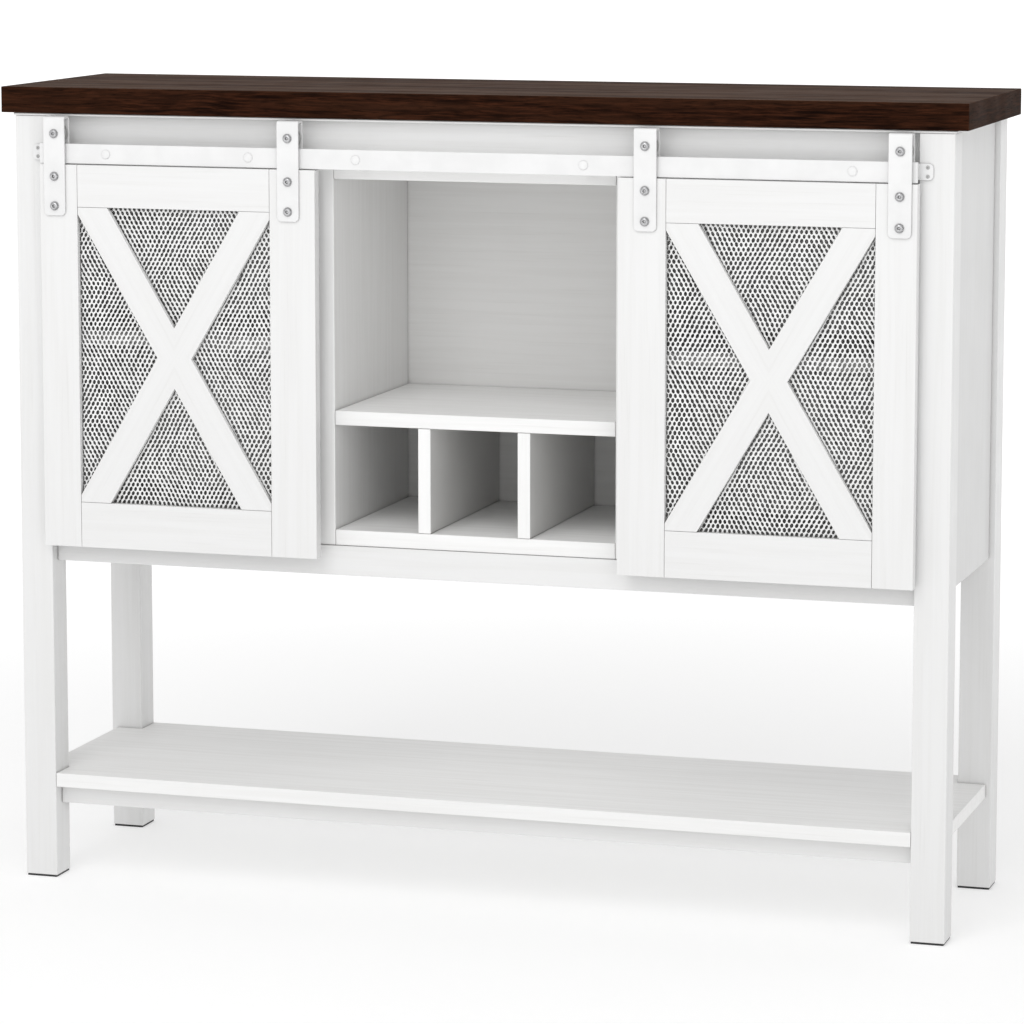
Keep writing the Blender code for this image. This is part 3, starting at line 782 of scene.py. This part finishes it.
class Finishes:
    """The sideboard's finishes."""

    outer_color: ClassVar[Color] = (0.758, 0.758, 0.756)
    outer_roughness: ClassVar[float] = 0.44
    inner_roughness: ClassVar[float] = 0.5
    # The lit colour of the inner boards' front faces; their other faces stay in painted shade.
    banding_color: ClassVar[Color] = (0.845, 0.845, 0.84)
    walnut = Walnut(
        "walnut_print", Slot.WALNUT, (0.0200, 0.0064, 0.0028), 0.70, relief=0.00022, relief_strength=0.35,
    )
    # The recess layers of these sprayed finishes paint shade into corners and sockets.
    white_steel = Sprayed(
        "white_powder_coat", Slot.WHITE_STEEL, grey(0.77), 0.33, relief=0.00004,
        recess=Layer(grey(0.10), 0.5),
    )
    # A near-black painted shade on the slot walls makes the pierced sheet's slots look dark.
    sheet_steel = Sprayed(
        "white_sheet_steel", Slot.MESH_STEEL, (0.82, 0.82, 0.815), 0.42, relief=0.00003, pebbles=1300.0,
        recess_reach=0.0022, recess=Layer(grey(0.03), 0.9),
    )
    zinc = Zinc("zinc_plate", Slot.ZINC, (0.56, 0.56, 0.57), 0.30, metallic=1.0, relief=0.00003)
    nylon = Sprayed(
        "grey_nylon", Slot.NYLON, (0.44, 0.44, 0.435), 0.46, relief=0.00003, pebbles=1500.0,
        rubbed=Layer((0.72, 0.72, 0.71), 0.3), recess=Layer(grey(0.10), 0.6),
    )
    glide = Sprayed(
        "dark_glide", Slot.GLIDE, (0.018, 0.018, 0.019), 0.62, relief=0.00008, pebbles=1100.0,
        rubbed=Layer(grey(0.07), 0.3),
    )

    @classmethod
    def outer(cls, grain: Grain) -> Paint:
        """White foil on outer boards with the grain along an axis."""
        title = f"white_foil_{grain.name.lower()}"
        return Paint(title, Slot.WHITE_PAINT, cls.outer_color, cls.outer_roughness, grain=grain)

    @classmethod
    def brace(cls, side: Side, middle: Point, arm_angle: float) -> BracePaint:
        """White foil on one door's X brace, whose grain follows its arms."""
        title = f"white_foil_brace_{side.word}"
        return BracePaint(
            title, Slot.WHITE_PAINT, cls.outer_color, cls.outer_roughness, middle=middle, arm_angle=arm_angle
        )

    @classmethod
    def board(cls, kind: Board) -> Paint:
        """The foil of a board of this kind: the white foil in painted light and shade, with a brighter lit
        colour on the front faces of the boards that have it.

        Args:
            kind: The board's kind.

        Returns:
            Its finish.
        """
        color, grain, front_lit = kind.value
        title = f"foil_{kind.name.lower()}"
        front = cls.banding_color if front_lit else None
        return Paint(title, Slot.INNER_PAINT, color, cls.inner_roughness, grain=grain, front_color=front)


# ---------------------------------------------------------------- mesh work
def add_piece(
    name: str, mesh_data: bmesh.types.BMesh, body: str, finish: Finish, smooth_angle: float = 35.0
) -> bpy.types.Object:
    """Turn a bmesh in world coordinates into a dressed piece that rides on a body.

    Args:
        name: The piece's name.
        mesh_data: Its mesh, which is freed.
        body: The CAD body that carries it.
        finish: Its finish.
        smooth_angle: Sharper edges than this, in degrees, stay crisp.

    Returns:
        The new object.
    """
    bmesh.ops.recalc_face_normals(mesh_data, faces=mesh_data.faces)
    mesh = bpy.data.meshes.new(name)
    mesh_data.to_mesh(mesh)
    mesh_data.free()
    mesh.shade_smooth()
    mesh.set_sharp_from_angle(angle=math.radians(smooth_angle))
    obj = bpy.data.objects.new(name, mesh)
    bpy.context.scene.collection.objects.link(obj)
    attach(obj, body)
    finish.dress(obj)
    log.info("piece %s: %d faces on %s", name, len(mesh.polygons), body)
    return obj


def add_block(mesh_data: bmesh.types.BMesh, low: Iterable[float], high: Iterable[float], edge: float) -> None:
    """Add a box with rounded edges to a bmesh.

    Args:
        mesh_data: The bmesh to add to.
        low: The box's lowest corner.
        high: Its highest corner.
        edge: Radius of its edges.
    """
    low, high = Vector(low), Vector(high)
    made = bmesh.ops.create_cube(mesh_data, size=1.0)["verts"]
    middle, span = (low + high) / 2, high - low
    for vert in made:
        vert.co = middle + Vector(part * length for part, length in zip(vert.co, span))
    edges = list({edge_item for vert in made for edge_item in vert.link_edges})
    bmesh.ops.bevel(mesh_data, geom=edges, offset=edge, segments=2, profile=0.5, affect="EDGES")


def bridge(mesh_data: bmesh.types.BMesh, loops: Sequence[Sequence[bmesh.types.BMVert]]) -> None:
    """Skin a row of loops with quads, and cap both ends.

    Args:
        mesh_data: The bmesh to add to.
        loops: Loops of as many points each, from the front one to the back one.
    """
    for first, second in zip(loops, loops[1:]):
        for step in range(len(first)):
            following = (step + 1) % len(first)
            mesh_data.faces.new((first[step], first[following], second[following], second[step]))
    mesh_data.faces.new(loops[0])
    mesh_data.faces.new(reversed(loops[-1]))


def cad(*names: str) -> list[bpy.types.Object]:
    """The CAD nodes of these names."""
    return [bpy.data.objects[name] for name in names]


def both(*stems: str) -> list[bpy.types.Object]:
    """The left and the right CAD node of each stem."""
    return cad(*(f"{stem}_{side.word}" for stem in stems for side in Side))


@dataclass(frozen=True)
class ButtonBolt:
    """A low button-head bolt with a collar and a hexagon socket, turned about Y."""

    collar_radius: float = 0.0050
    collar_height: float = 0.0007
    head_radius: float = 0.0043
    head_height: float = 0.0027
    crown_radius: float = 0.0026
    socket_apothem: float = 0.00165
    socket_depth: float = 0.0015
    socket_ease: float = 0.1 * MILLI
    socket_lip: float = 0.12 * MILLI
    shank_radius: float = 0.0022
    dome_foot: float = 0.08 * MILLI
    crown_drop: float = 0.02 * MILLI
    dome_steps: int = 6
    ease: float = 0.15 * MILLI
    steps: int = 48

    def rings(self, shank_length: float) -> list[tuple[float, float, bool]]:
        """The rings of the bolt from its socket's floor to its tip.

        Args:
            shank_length: Length from under the collar.

        Returns:
            For each ring the distance in front of the collar's back, the radius, and
            whether it is a hexagon.
        """
        crown, apothem, collar = self.head_height, self.socket_apothem, self.collar_height
        floor = crown - self.socket_depth
        rings = [
            (floor, apothem * 0.25, True),
            (floor, apothem * 0.96, True),
            (floor + self.socket_ease, apothem, True),
            (crown - self.socket_lip, apothem, True),
            (crown, apothem * 1.12, True),
            (crown, self.crown_radius * 0.94, False),
        ]
        foot = collar + self.dome_foot
        rise = crown - self.crown_drop - foot
        for step in range(self.dome_steps + 1):
            angle = math.pi / 2 * step / self.dome_steps
            reach = self.crown_radius + (self.head_radius - self.crown_radius) * math.sin(angle)
            rings.append((foot + rise * math.cos(angle), reach, False))
        outline = (
            (collar, self.head_radius),
            (collar, self.collar_radius - self.ease),
            (collar - self.ease, self.collar_radius),
            (self.ease, self.collar_radius),
            (0.0, self.collar_radius - self.ease),
            (0.0, self.shank_radius),
            (-shank_length + self.ease, self.shank_radius),
            (-shank_length, self.shank_radius - self.ease),
        )
        return rings + [(front, radius, False) for front, radius in outline]

    def add_to(self, mesh_data: bmesh.types.BMesh, seat: Point, shank_length: float, turn: float) -> None:
        """Add the bolt to a bmesh.

        Args:
            mesh_data: The bmesh to add to.
            seat: The point under the middle of the collar.
            shank_length: Length of the shank behind the seat.
            turn: How far the socket is turned, in degrees.
        """
        loops = []
        for front, radius, hexagon in self.rings(shank_length):
            loop = []
            for step in range(self.steps):
                angle = 2 * math.pi * step / self.steps
                reach = radius
                if hexagon:
                    reach /= math.cos((angle + math.pi / 6) % (math.pi / 3) - math.pi / 6)
                way = angle + math.radians(turn)
                offset = Vector((reach * math.cos(way), -front, reach * math.sin(way)))
                loop.append(mesh_data.verts.new(Vector(seat) + offset))
            loops.append(loop)
        bridge(mesh_data, loops)


# ---------------------------------------------------------------- sub-assemblies
class Top:
    """The walnut slab and the thin white board under it."""

    def dress(self) -> None:
        """Give both boards their finishes."""
        Finishes.walnut.dress(*cad("top_board"))
        Finishes.outer(Grain.ACROSS).dress(*cad("sub_top"))
        log.info("top: slab and thin board dressed")


class Carcass:
    """Legs, panels, aprons and the boards of the three bays."""

    def dress(self) -> None:
        """Give every board a foil whose grain runs along it, and the glides theirs."""
        coats = (
            (Finishes.outer(Grain.UPRIGHT), both("leg_front", "leg_back")),
            (Finishes.outer(Grain.ACROSS), cad("frieze", "cabinet_apron", "shelf_apron")),
            # Inner boards take lit and shaded copies of one white foil: painted light and shade.
            (Finishes.board(Board.PANEL), both("side_panel")),
            (Finishes.board(Board.WALL), both("partition")),
            (Finishes.board(Board.DIVIDER), both("bottle_divider")),
            (Finishes.board(Board.DECK), cad("niche_header", "center_shelf", "center_floor")),
            (Finishes.board(Board.BACK), cad("back_panel")),
            (Finishes.board(Board.HIDDEN), both("side_floor", "side_shelf")),
            (Finishes.glide, both("foot_glide_front", "foot_glide_back")),
        )
        for finish, nodes in coats:
            finish.dress(*nodes)
        log.info("carcass: %d boards and glides dressed", sum(len(nodes) for _, nodes in coats))


@dataclass
class LowerShelf:
    """The low shelf, with a small corner block behind its apron at each front leg."""

    block_width: float = 0.018
    block_height: float = 0.024
    block_depth: float = 0.018
    block_edge: float = 0.0008

    def build(self) -> None:
        """Dress the shelf and add the corner blocks."""
        Finishes.board(Board.DECK).dress(*cad("lower_shelf"))
        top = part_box("lower_shelf")[0].z - FIT
        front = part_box("shelf_apron")[1].y + FIT
        for side in Side:
            leg_low, leg_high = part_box(f"leg_front_{side.word}")
            leg_face = leg_high.x if side is Side.LEFT else leg_low.x
            near = leg_face - side.value * FIT
            far = near - side.value * self.block_width
            low = (min(near, far), front, top - self.block_height)
            high = (max(near, far), front + self.block_depth, top)
            mesh_data = bmesh.new()
            add_block(mesh_data, low, high, self.block_edge)
            add_piece(f"shelf_corner_block_{side.word}", mesh_data, "carcass", Finishes.nylon)


@dataclass
class Track:
    """The flat track with its bolts, end brackets and the brackets' small screws."""

    bolt_count: int = 5
    plate_thickness: float = 0.0025
    screw_spread: float = 0.0048
    screw_inset: float = 0.0058
    screw_shank: float = 0.002
    screw_turns: tuple[float, float] = (20.0, 55.0)
    screw: ButtonBolt = ButtonBolt(
        collar_radius=0.0021, collar_height=0.0003, head_radius=0.0019, head_height=0.0009,
        crown_radius=0.0011, socket_apothem=0.0007, socket_depth=0.0005, shank_radius=0.0009, steps=24,
    )

    def build(self) -> None:
        """Dress the track and add the bracket screws."""
        bolts = [f"rail_bolt_{number + 1}" for number in range(self.bolt_count)]
        Finishes.white_steel.dress(*cad("track_rail", *bolts), *both("rail_end_bracket"))
        for side in Side:
            low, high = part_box(f"rail_end_bracket_{side.word}")
            x = (low.x if side is Side.LEFT else high.x) - side.value * self.screw_inset
            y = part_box(f"leg_front_{side.word}")[0].y - FIT - self.plate_thickness
            z = (low.z + high.z) / 2
            mesh_data = bmesh.new()
            for way, turn in zip((-1, 1), self.screw_turns):
                self.screw.add_to(mesh_data, (x, y, z + way * self.screw_spread), self.screw_shank, turn)
            add_piece(f"bracket_screws_{side.word}", mesh_data, "carcass", Finishes.nylon)


@dataclass
class DoorSheet:
    """The pierced steel sheet behind a door's brace: staggered upright slots in a hemmed sheet."""

    node: str
    body: str
    seed: int
    pitch: float = 0.0053
    row_pitch: float = 0.0050
    slot_half_width: float = 0.00180
    slot_half_height: float = 0.00244
    slot_spread: float = 0.10
    slot_jitter: float = 0.12 * MILLI
    slot_slant: float = 0.32
    hem: float = 0.0050
    hem_edge: float = 0.25 * MILLI
    web_setback: float = 0.05 * MILLI
    crest_drop: float = 0.00035
    back_inset: float = 0.00025
    wander: float = 0.00055
    smooth_angle: float = 50.0

    @property
    def box(self) -> tuple[Vector, Vector]:
        """The sheet's lowest and highest corner."""
        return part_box(self.node)

    def flow(self, places: np.ndarray) -> np.ndarray:
        """Slow drift of the pattern, which follows how the sheet was stretched.

        Args:
            places: Places on the sheet, as (x, z).

        Returns:
            The shift of each. Its rates, in radians per metre, share no factor.
        """
        x, z = places[:, 0], places[:, 1]
        across = np.sin(41 * x + 3.0 * np.sin(23 * z)) + 0.7 * np.sin(97 * z + 31 * x)
        up = np.cos(37 * z + 2.0 * np.sin(29 * x)) + 0.6 * np.sin(83 * x - 27 * z)
        return self.wander * np.stack([across, 0.7 * up], axis=-1)

    def cell(self) -> np.ndarray:
        """The twelve points round a cell, from its right corner, as (x, z).

        Returns:
            The corners of a hexagon and the middles of its sides.
        """
        half, shoulder, tip = self.pitch / 2, self.row_pitch / 3, self.row_pitch * 2 / 3
        right = [(0, -tip), (half, -shoulder), (half, shoulder)]
        corners = np.array(right[1:] + [(-x, -z) for x, z in right] + right[:1])
        middles = (corners + np.roll(corners, -1, axis=0)) / 2
        return np.stack([corners, middles], axis=1).reshape(-1, 2)

    def centres(self) -> np.ndarray:
        """Middles of the slots between the hems.

        Returns:
            The middles as (x, z).
        """
        low, high = self.box
        inset = self.hem * 0.8
        columns = int((high.x - low.x - 2 * inset) / self.pitch)
        rows = int((high.z - low.z - 2 * inset) / self.row_pitch)
        start_x = (low.x + high.x - (columns - 0.5) * self.pitch) / 2
        start_z = (low.z + high.z - (rows - 1) * self.row_pitch) / 2
        grid = [
            (start_x + (column + 0.5 * (row % 2)) * self.pitch, start_z + row * self.row_pitch)
            for row in range(rows) for column in range(columns)
        ]
        return np.array(grid)

    def slots(self, centres: np.ndarray, rim: np.ndarray) -> np.ndarray:
        """Outlines of the slots, each a little different in size, place and slant.

        Args:
            centres: Middles of the slots.
            rim: Points round a cell, one for each point round a slot.

        Returns:
            The points of each slot as (x, z).
        """
        rng = np.random.default_rng(self.seed)
        angles = np.arctan2(rim[:, 1], rim[:, 0])
        size = 1 + rng.uniform(-self.slot_spread, self.slot_spread, (len(centres), 1))
        slant = self.slot_slant * np.sin(47 * centres[:, 0] + 2.2 * np.sin(31 * centres[:, 1]))
        x = self.slot_half_width * size * np.cos(angles)
        z = self.slot_half_height * size * np.sin(angles)
        outlines = np.stack([x + slant[:, None] * z, z], axis=-1) + centres[:, None, :]
        return outlines + rng.uniform(-self.slot_jitter, self.slot_jitter, (len(centres), 1, 2))

    def web(self) -> tuple[np.ndarray, np.ndarray]:
        """The pierced web between the hems: each cell is a ring of quads round its slot.

        Returns:
            The web's points and its quads.
        """
        low, high = self.box
        centres, rim = self.centres(), self.cell()
        holes = self.slots(centres, rim)
        outer = (rim[None] + centres[:, None, :]).reshape(-1, 2)
        keys = np.round(outer / (0.05 * MILLI)).astype(int)
        _, first, index = np.unique(keys, axis=0, return_index=True, return_inverse=True)
        shared = outer[first]
        flat = np.concatenate([shared, holes.reshape(-1, 2)])
        flat = flat + self.flow(flat)
        flat[:, 0] = np.clip(flat[:, 0], low.x + FIT, high.x - FIT)
        flat[:, 1] = np.clip(flat[:, 1], low.z + FIT, high.z - FIT)
        lattice, behind = len(shared), len(flat)
        front_y = np.full(behind, low.y + self.crest_drop)
        front_y[:lattice] = low.y + self.web_setback
        back_y = np.full(behind, high.y - self.back_inset)
        points = np.concatenate([np.stack([flat[:, 0], y, flat[:, 1]], axis=-1) for y in (front_y, back_y)])
        cells = (len(centres), len(rim))
        outside = index.reshape(cells)
        inside = lattice + np.arange(cells[0] * cells[1]).reshape(cells)
        rings = (outside, inside, inside + behind, outside + behind)
        skins = [
            np.stack([one, np.roll(one, -1, axis=1), np.roll(two, -1, axis=1), two], axis=-1).reshape(-1, 4)
            for one, two in zip(rings, rings[1:])
        ]
        return points, np.concatenate([*skins, self.open_edges(outside, behind)])

    @staticmethod
    def open_edges(ring: np.ndarray, behind: int) -> np.ndarray:
        """Walls that close the sheet where a cell has no neighbour.

        Args:
            ring: The cells' outer points.
            behind: What to add to a front point for its back point.

        Returns:
            The walls' quads.
        """
        pairs = np.stack([ring.ravel(), np.roll(ring, -1, axis=1).ravel()], axis=-1)
        _, where, uses = np.unique(np.sort(pairs, axis=1), axis=0, return_index=True, return_counts=True)
        start, end = pairs[where[uses == 1]].T
        return np.stack([end, start, start + behind, end + behind], axis=-1)

    def add_hem(self, mesh_data: bmesh.types.BMesh) -> None:
        """Add the folded hem round the sheet.

        Args:
            mesh_data: The sheet's bmesh.
        """
        low, high = self.box
        edge = self.hem_edge
        left, right = low.x + self.hem, high.x - self.hem
        strips = (
            (low.x, left, low.z, high.z),
            (right, high.x, low.z, high.z),
            (left - edge, right + edge, low.z, low.z + self.hem),
            (left - edge, right + edge, high.z - self.hem, high.z),
        )
        for near, far, bottom, top in strips:
            add_block(mesh_data, (near, low.y, bottom), (far, high.y, top), edge)

    def build(self) -> None:
        """Make the sheet and stand it for the CAD node."""
        points, quads = self.web()
        mesh = bpy.data.meshes.new(self.node)
        mesh.from_pydata(points.tolist(), [], quads.tolist())
        mesh_data = bmesh.new()
        mesh_data.from_mesh(mesh)
        bpy.data.meshes.remove(mesh)
        self.add_hem(mesh_data)
        name = f"{self.node}_pierced"
        piece = add_piece(name, mesh_data, self.body, Finishes.sheet_steel, self.smooth_angle)
        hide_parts(self.node)


@dataclass
class Hanger:
    """A strap with its roller, and the three bolts through the strap."""

    label: str
    body: str
    fixing_rises: tuple[float, ...] = (0.0437, 0.0107)
    fixing_shank: float = 0.0110
    nut_radius: float = 0.0044
    nut_chamfer: float = 0.25 * MILLI
    nut_turn: float = 0.2
    bolt: ButtonBolt = ButtonBolt()
    axle_turn: float = 12.0
    fixing_turns: tuple[float, ...] = (41.0, 27.0)

    def build(self) -> None:
        """Dress the strap and roller, and make the bolts."""
        Finishes.white_steel.dress(*cad(f"{self.label}_hanger"))
        Finishes.nylon.dress(*cad(f"{self.label}_roller"))
        strap_low, strap_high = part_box(f"{self.label}_hanger")
        axle_low, axle_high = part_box(f"{self.label}_axle_bolt")
        x, seat_y = (strap_low.x + strap_high.x) / 2, strap_low.y - FIT
        axle_z, nut_y = (axle_low.z + axle_high.z) / 2, strap_high.y + FIT
        mesh_data = bmesh.new()
        self.bolt.add_to(mesh_data, (x, seat_y, axle_z), nut_y - seat_y, self.axle_turn)
        self.add_nut(mesh_data, (x, nut_y, axle_z), axle_high.y)
        axle = add_piece(f"{self.label}_axle_screw", mesh_data, self.body, Finishes.zinc)
        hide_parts(f"{self.label}_axle_bolt")
        for number, (rise, turn) in enumerate(zip(self.fixing_rises, self.fixing_turns), start=1):
            mesh_data = bmesh.new()
            self.bolt.add_to(mesh_data, (x, seat_y, strap_low.z + rise), self.fixing_shank, turn)
            add_piece(f"{self.label}_fixing_bolt_{number}", mesh_data, self.body, Finishes.zinc)

    def add_nut(self, mesh_data: bmesh.types.BMesh, seat: Point, back_y: float) -> None:
        """Add a hexagon nut with chamfered corners behind the strap.

        Args:
            mesh_data: The bmesh to add to.
            seat: Middle of its face against the strap.
            back_y: Its free face.
        """
        x, front_y, z = seat
        chamfer, radius = self.nut_chamfer, self.nut_radius
        rings = (
            (front_y, radius - chamfer),
            (front_y + chamfer, radius),
            (back_y - chamfer, radius),
            (back_y, radius - chamfer),
        )
        turns = [math.pi / 3 * step + self.nut_turn for step in range(6)]
        corners = [(math.cos(turn), math.sin(turn)) for turn in turns]
        loops = [
            [mesh_data.verts.new((x + reach * across, y, z + reach * up)) for across, up in corners]
            for y, reach in rings
        ]
        bridge(mesh_data, loops)


@dataclass
class Door:
    """One sliding door: frame, brace, pierced sheet and two hangers."""

    side: Side
    arm_run: float = 0.193
    arm_rise: float = 0.325
    first_seed: int = 11
    hangers: tuple[str, ...] = ("outer", "inner")

    def build(self) -> None:
        """Dress the frame and brace, and build the sheet and the hangers."""
        door = f"{self.side.word}_door"
        Finishes.outer(Grain.UPRIGHT).dress(*cad(f"{door}_outer_stile", f"{door}_inner_stile"))
        Finishes.outer(Grain.ACROSS).dress(*cad(f"{door}_top_rail", f"{door}_bottom_rail"))
        low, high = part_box(f"{door}_brace")
        arm_angle = -math.atan2(self.arm_run, self.arm_rise)
        Finishes.brace(self.side, tuple((low + high) / 2), arm_angle).dress(*cad(f"{door}_brace"))
        DoorSheet(f"{door}_mesh", door, self.first_seed + self.side.value).build()
        for place in self.hangers:
            Hanger(f"{self.side.word}_{place}", door).build()
        log.info("%s: frame, brace, sheet and %d hangers", door, len(self.hangers))


# ---------------------------------------------------------------- studio
@dataclass(frozen=True)
class FloorFinish(Finish):
    """A plain pale floor, lit from below, with the faintest unevenness."""

    near_glow: float = 0.34
    far_glow: float = 0.68
    glow_start: float = 0.75
    glow_end: float = 3.6
    reflection: float = 0.1

    def shade(self, bench: Bench, shader: bpy.types.Node) -> None:
        """Drift the tone very slightly, and light the floor up away from the sideboard.

        Args:
            bench: The material's bench.
            shader: The material's shader.
        """
        place = bench.coordinates()
        reach = bench.measure("LENGTH", place)
        glow = bench.fit(reach, (self.glow_start, self.glow_end), (self.near_glow, self.far_glow))
        bench.feed(shader.inputs["Emission Color"], glow)
        shader.inputs["Emission Strength"].default_value = 1.0
        shader.inputs["Specular IOR Level"].default_value = self.reflection
        clouds = bench.noise(place, 2.0, Detail=2.0)
        bench.feed(shader.inputs["Base Color"], bench.blend(clouds, self.color, self.tinted(0.99)))


@dataclass(frozen=True)
class Lamp:
    """A square soft light aimed at the sideboard's middle."""

    name: str
    place: Point
    size: float
    power: float
    aim: Point = (0.0, 0.0, 0.45)

    def build(self) -> None:
        """Hang the light."""
        data = bpy.data.lights.new(self.name, "AREA")
        data.shape = "SQUARE"
        data.size = self.size
        data.energy = self.power
        lamp = bpy.data.objects.new(self.name, data)
        lamp.location = self.place
        lamp.rotation_mode = "QUATERNION"
        lamp.rotation_quaternion = (Vector(self.aim) - Vector(self.place)).to_track_quat("-Z", "Y")
        bpy.context.scene.collection.objects.link(lamp)


@dataclass
class Studio:
    """Floor, soft light, white surroundings and the camera."""

    floor_reach: float = 60.0
    sky_light: float = 0.752
    camera_place: Point = (1.3899, -4.4460, 1.1613)
    camera_yaw: float = 17.281
    camera_pitch: float = 7.556
    camera_lens: float = 146.80
    camera_drop: float = 0.10
    camera_range: tuple[float, float] = (0.05, 300.0)
    lamps: tuple[Lamp, ...] = (
        Lamp("high_softbox", (-0.3, -3.4, 4.2), 2.4, 50.0),
        Lamp("front_softbox", (-0.5, -4.6, 2.4), 2.0, 17.5),
        Lamp("right_softbox", (2.4, -4.2, 2.4), 2.0, 18.0),
    )

    def build(self) -> None:
        """Lay the floor, light the set and place the camera."""
        self.build_floor()
        self.build_surroundings()
        for lamp in self.lamps:
            lamp.build()
        self.build_camera()
        view = bpy.context.scene.view_settings
        view.view_transform = "Standard"
        view.look = "None"
        log.info("studio: floor, %d lamps and camera", len(self.lamps))

    def build_floor(self) -> None:
        """Lay a wide flat floor under the feet."""
        mesh_data = bmesh.new()
        bmesh.ops.create_grid(mesh_data, x_segments=4, y_segments=4, size=self.floor_reach)
        mesh = bpy.data.meshes.new("studio_floor")
        mesh_data.to_mesh(mesh)
        mesh_data.free()
        floor = bpy.data.objects.new("studio_floor", mesh)
        bpy.context.scene.collection.objects.link(floor)
        finish = FloorFinish("studio_floor", Slot.WHITE_PAINT, grey(0.70), 0.9)
        mesh.materials.append(finish.material())

    def build_surroundings(self) -> None:
        """Surround the set with even soft light, and plain white to look at."""
        world = bpy.data.worlds.new("studio_white")
        bpy.context.scene.world = world
        world.use_nodes = True
        tree = world.node_tree
        tree.nodes.clear()
        bench = Bench(tree)
        seen = bench.add("LightPath").outputs["Is Camera Ray"]
        strength = bench.math("MAXIMUM", seen, self.sky_light)
        background = bench.add("Background", Color=grey(1.0), Strength=strength)
        output = bench.add("OutputWorld")
        tree.links.new(background.outputs["Background"], output.inputs["Surface"])

    def build_camera(self) -> None:
        """Place the camera to the right of the middle, a little above the top, looking down."""
        data = bpy.data.cameras.new("camera")
        data.sensor_width = 36.0
        data.lens = self.camera_lens
        data.shift_y = -self.camera_drop
        data.clip_start, data.clip_end = self.camera_range
        camera = bpy.data.objects.new("camera", data)
        camera.location = self.camera_place
        camera.rotation_euler = (math.radians(90.0 - self.camera_pitch), 0.0, math.radians(self.camera_yaw))
        bpy.context.scene.collection.objects.link(camera)
        bpy.context.scene.camera = camera


def main() -> None:
    """Load the frame, build every sub-assembly around it and set the studio."""
    logging.basicConfig(level=logging.INFO, format="%(name)s %(message)s")
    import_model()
    Top().dress()
    Carcass().dress()
    LowerShelf().build()
    Track().build()
    for side in Side:
        Door(side).build()
    Studio().build()


if __name__ == "__main__":
    main()
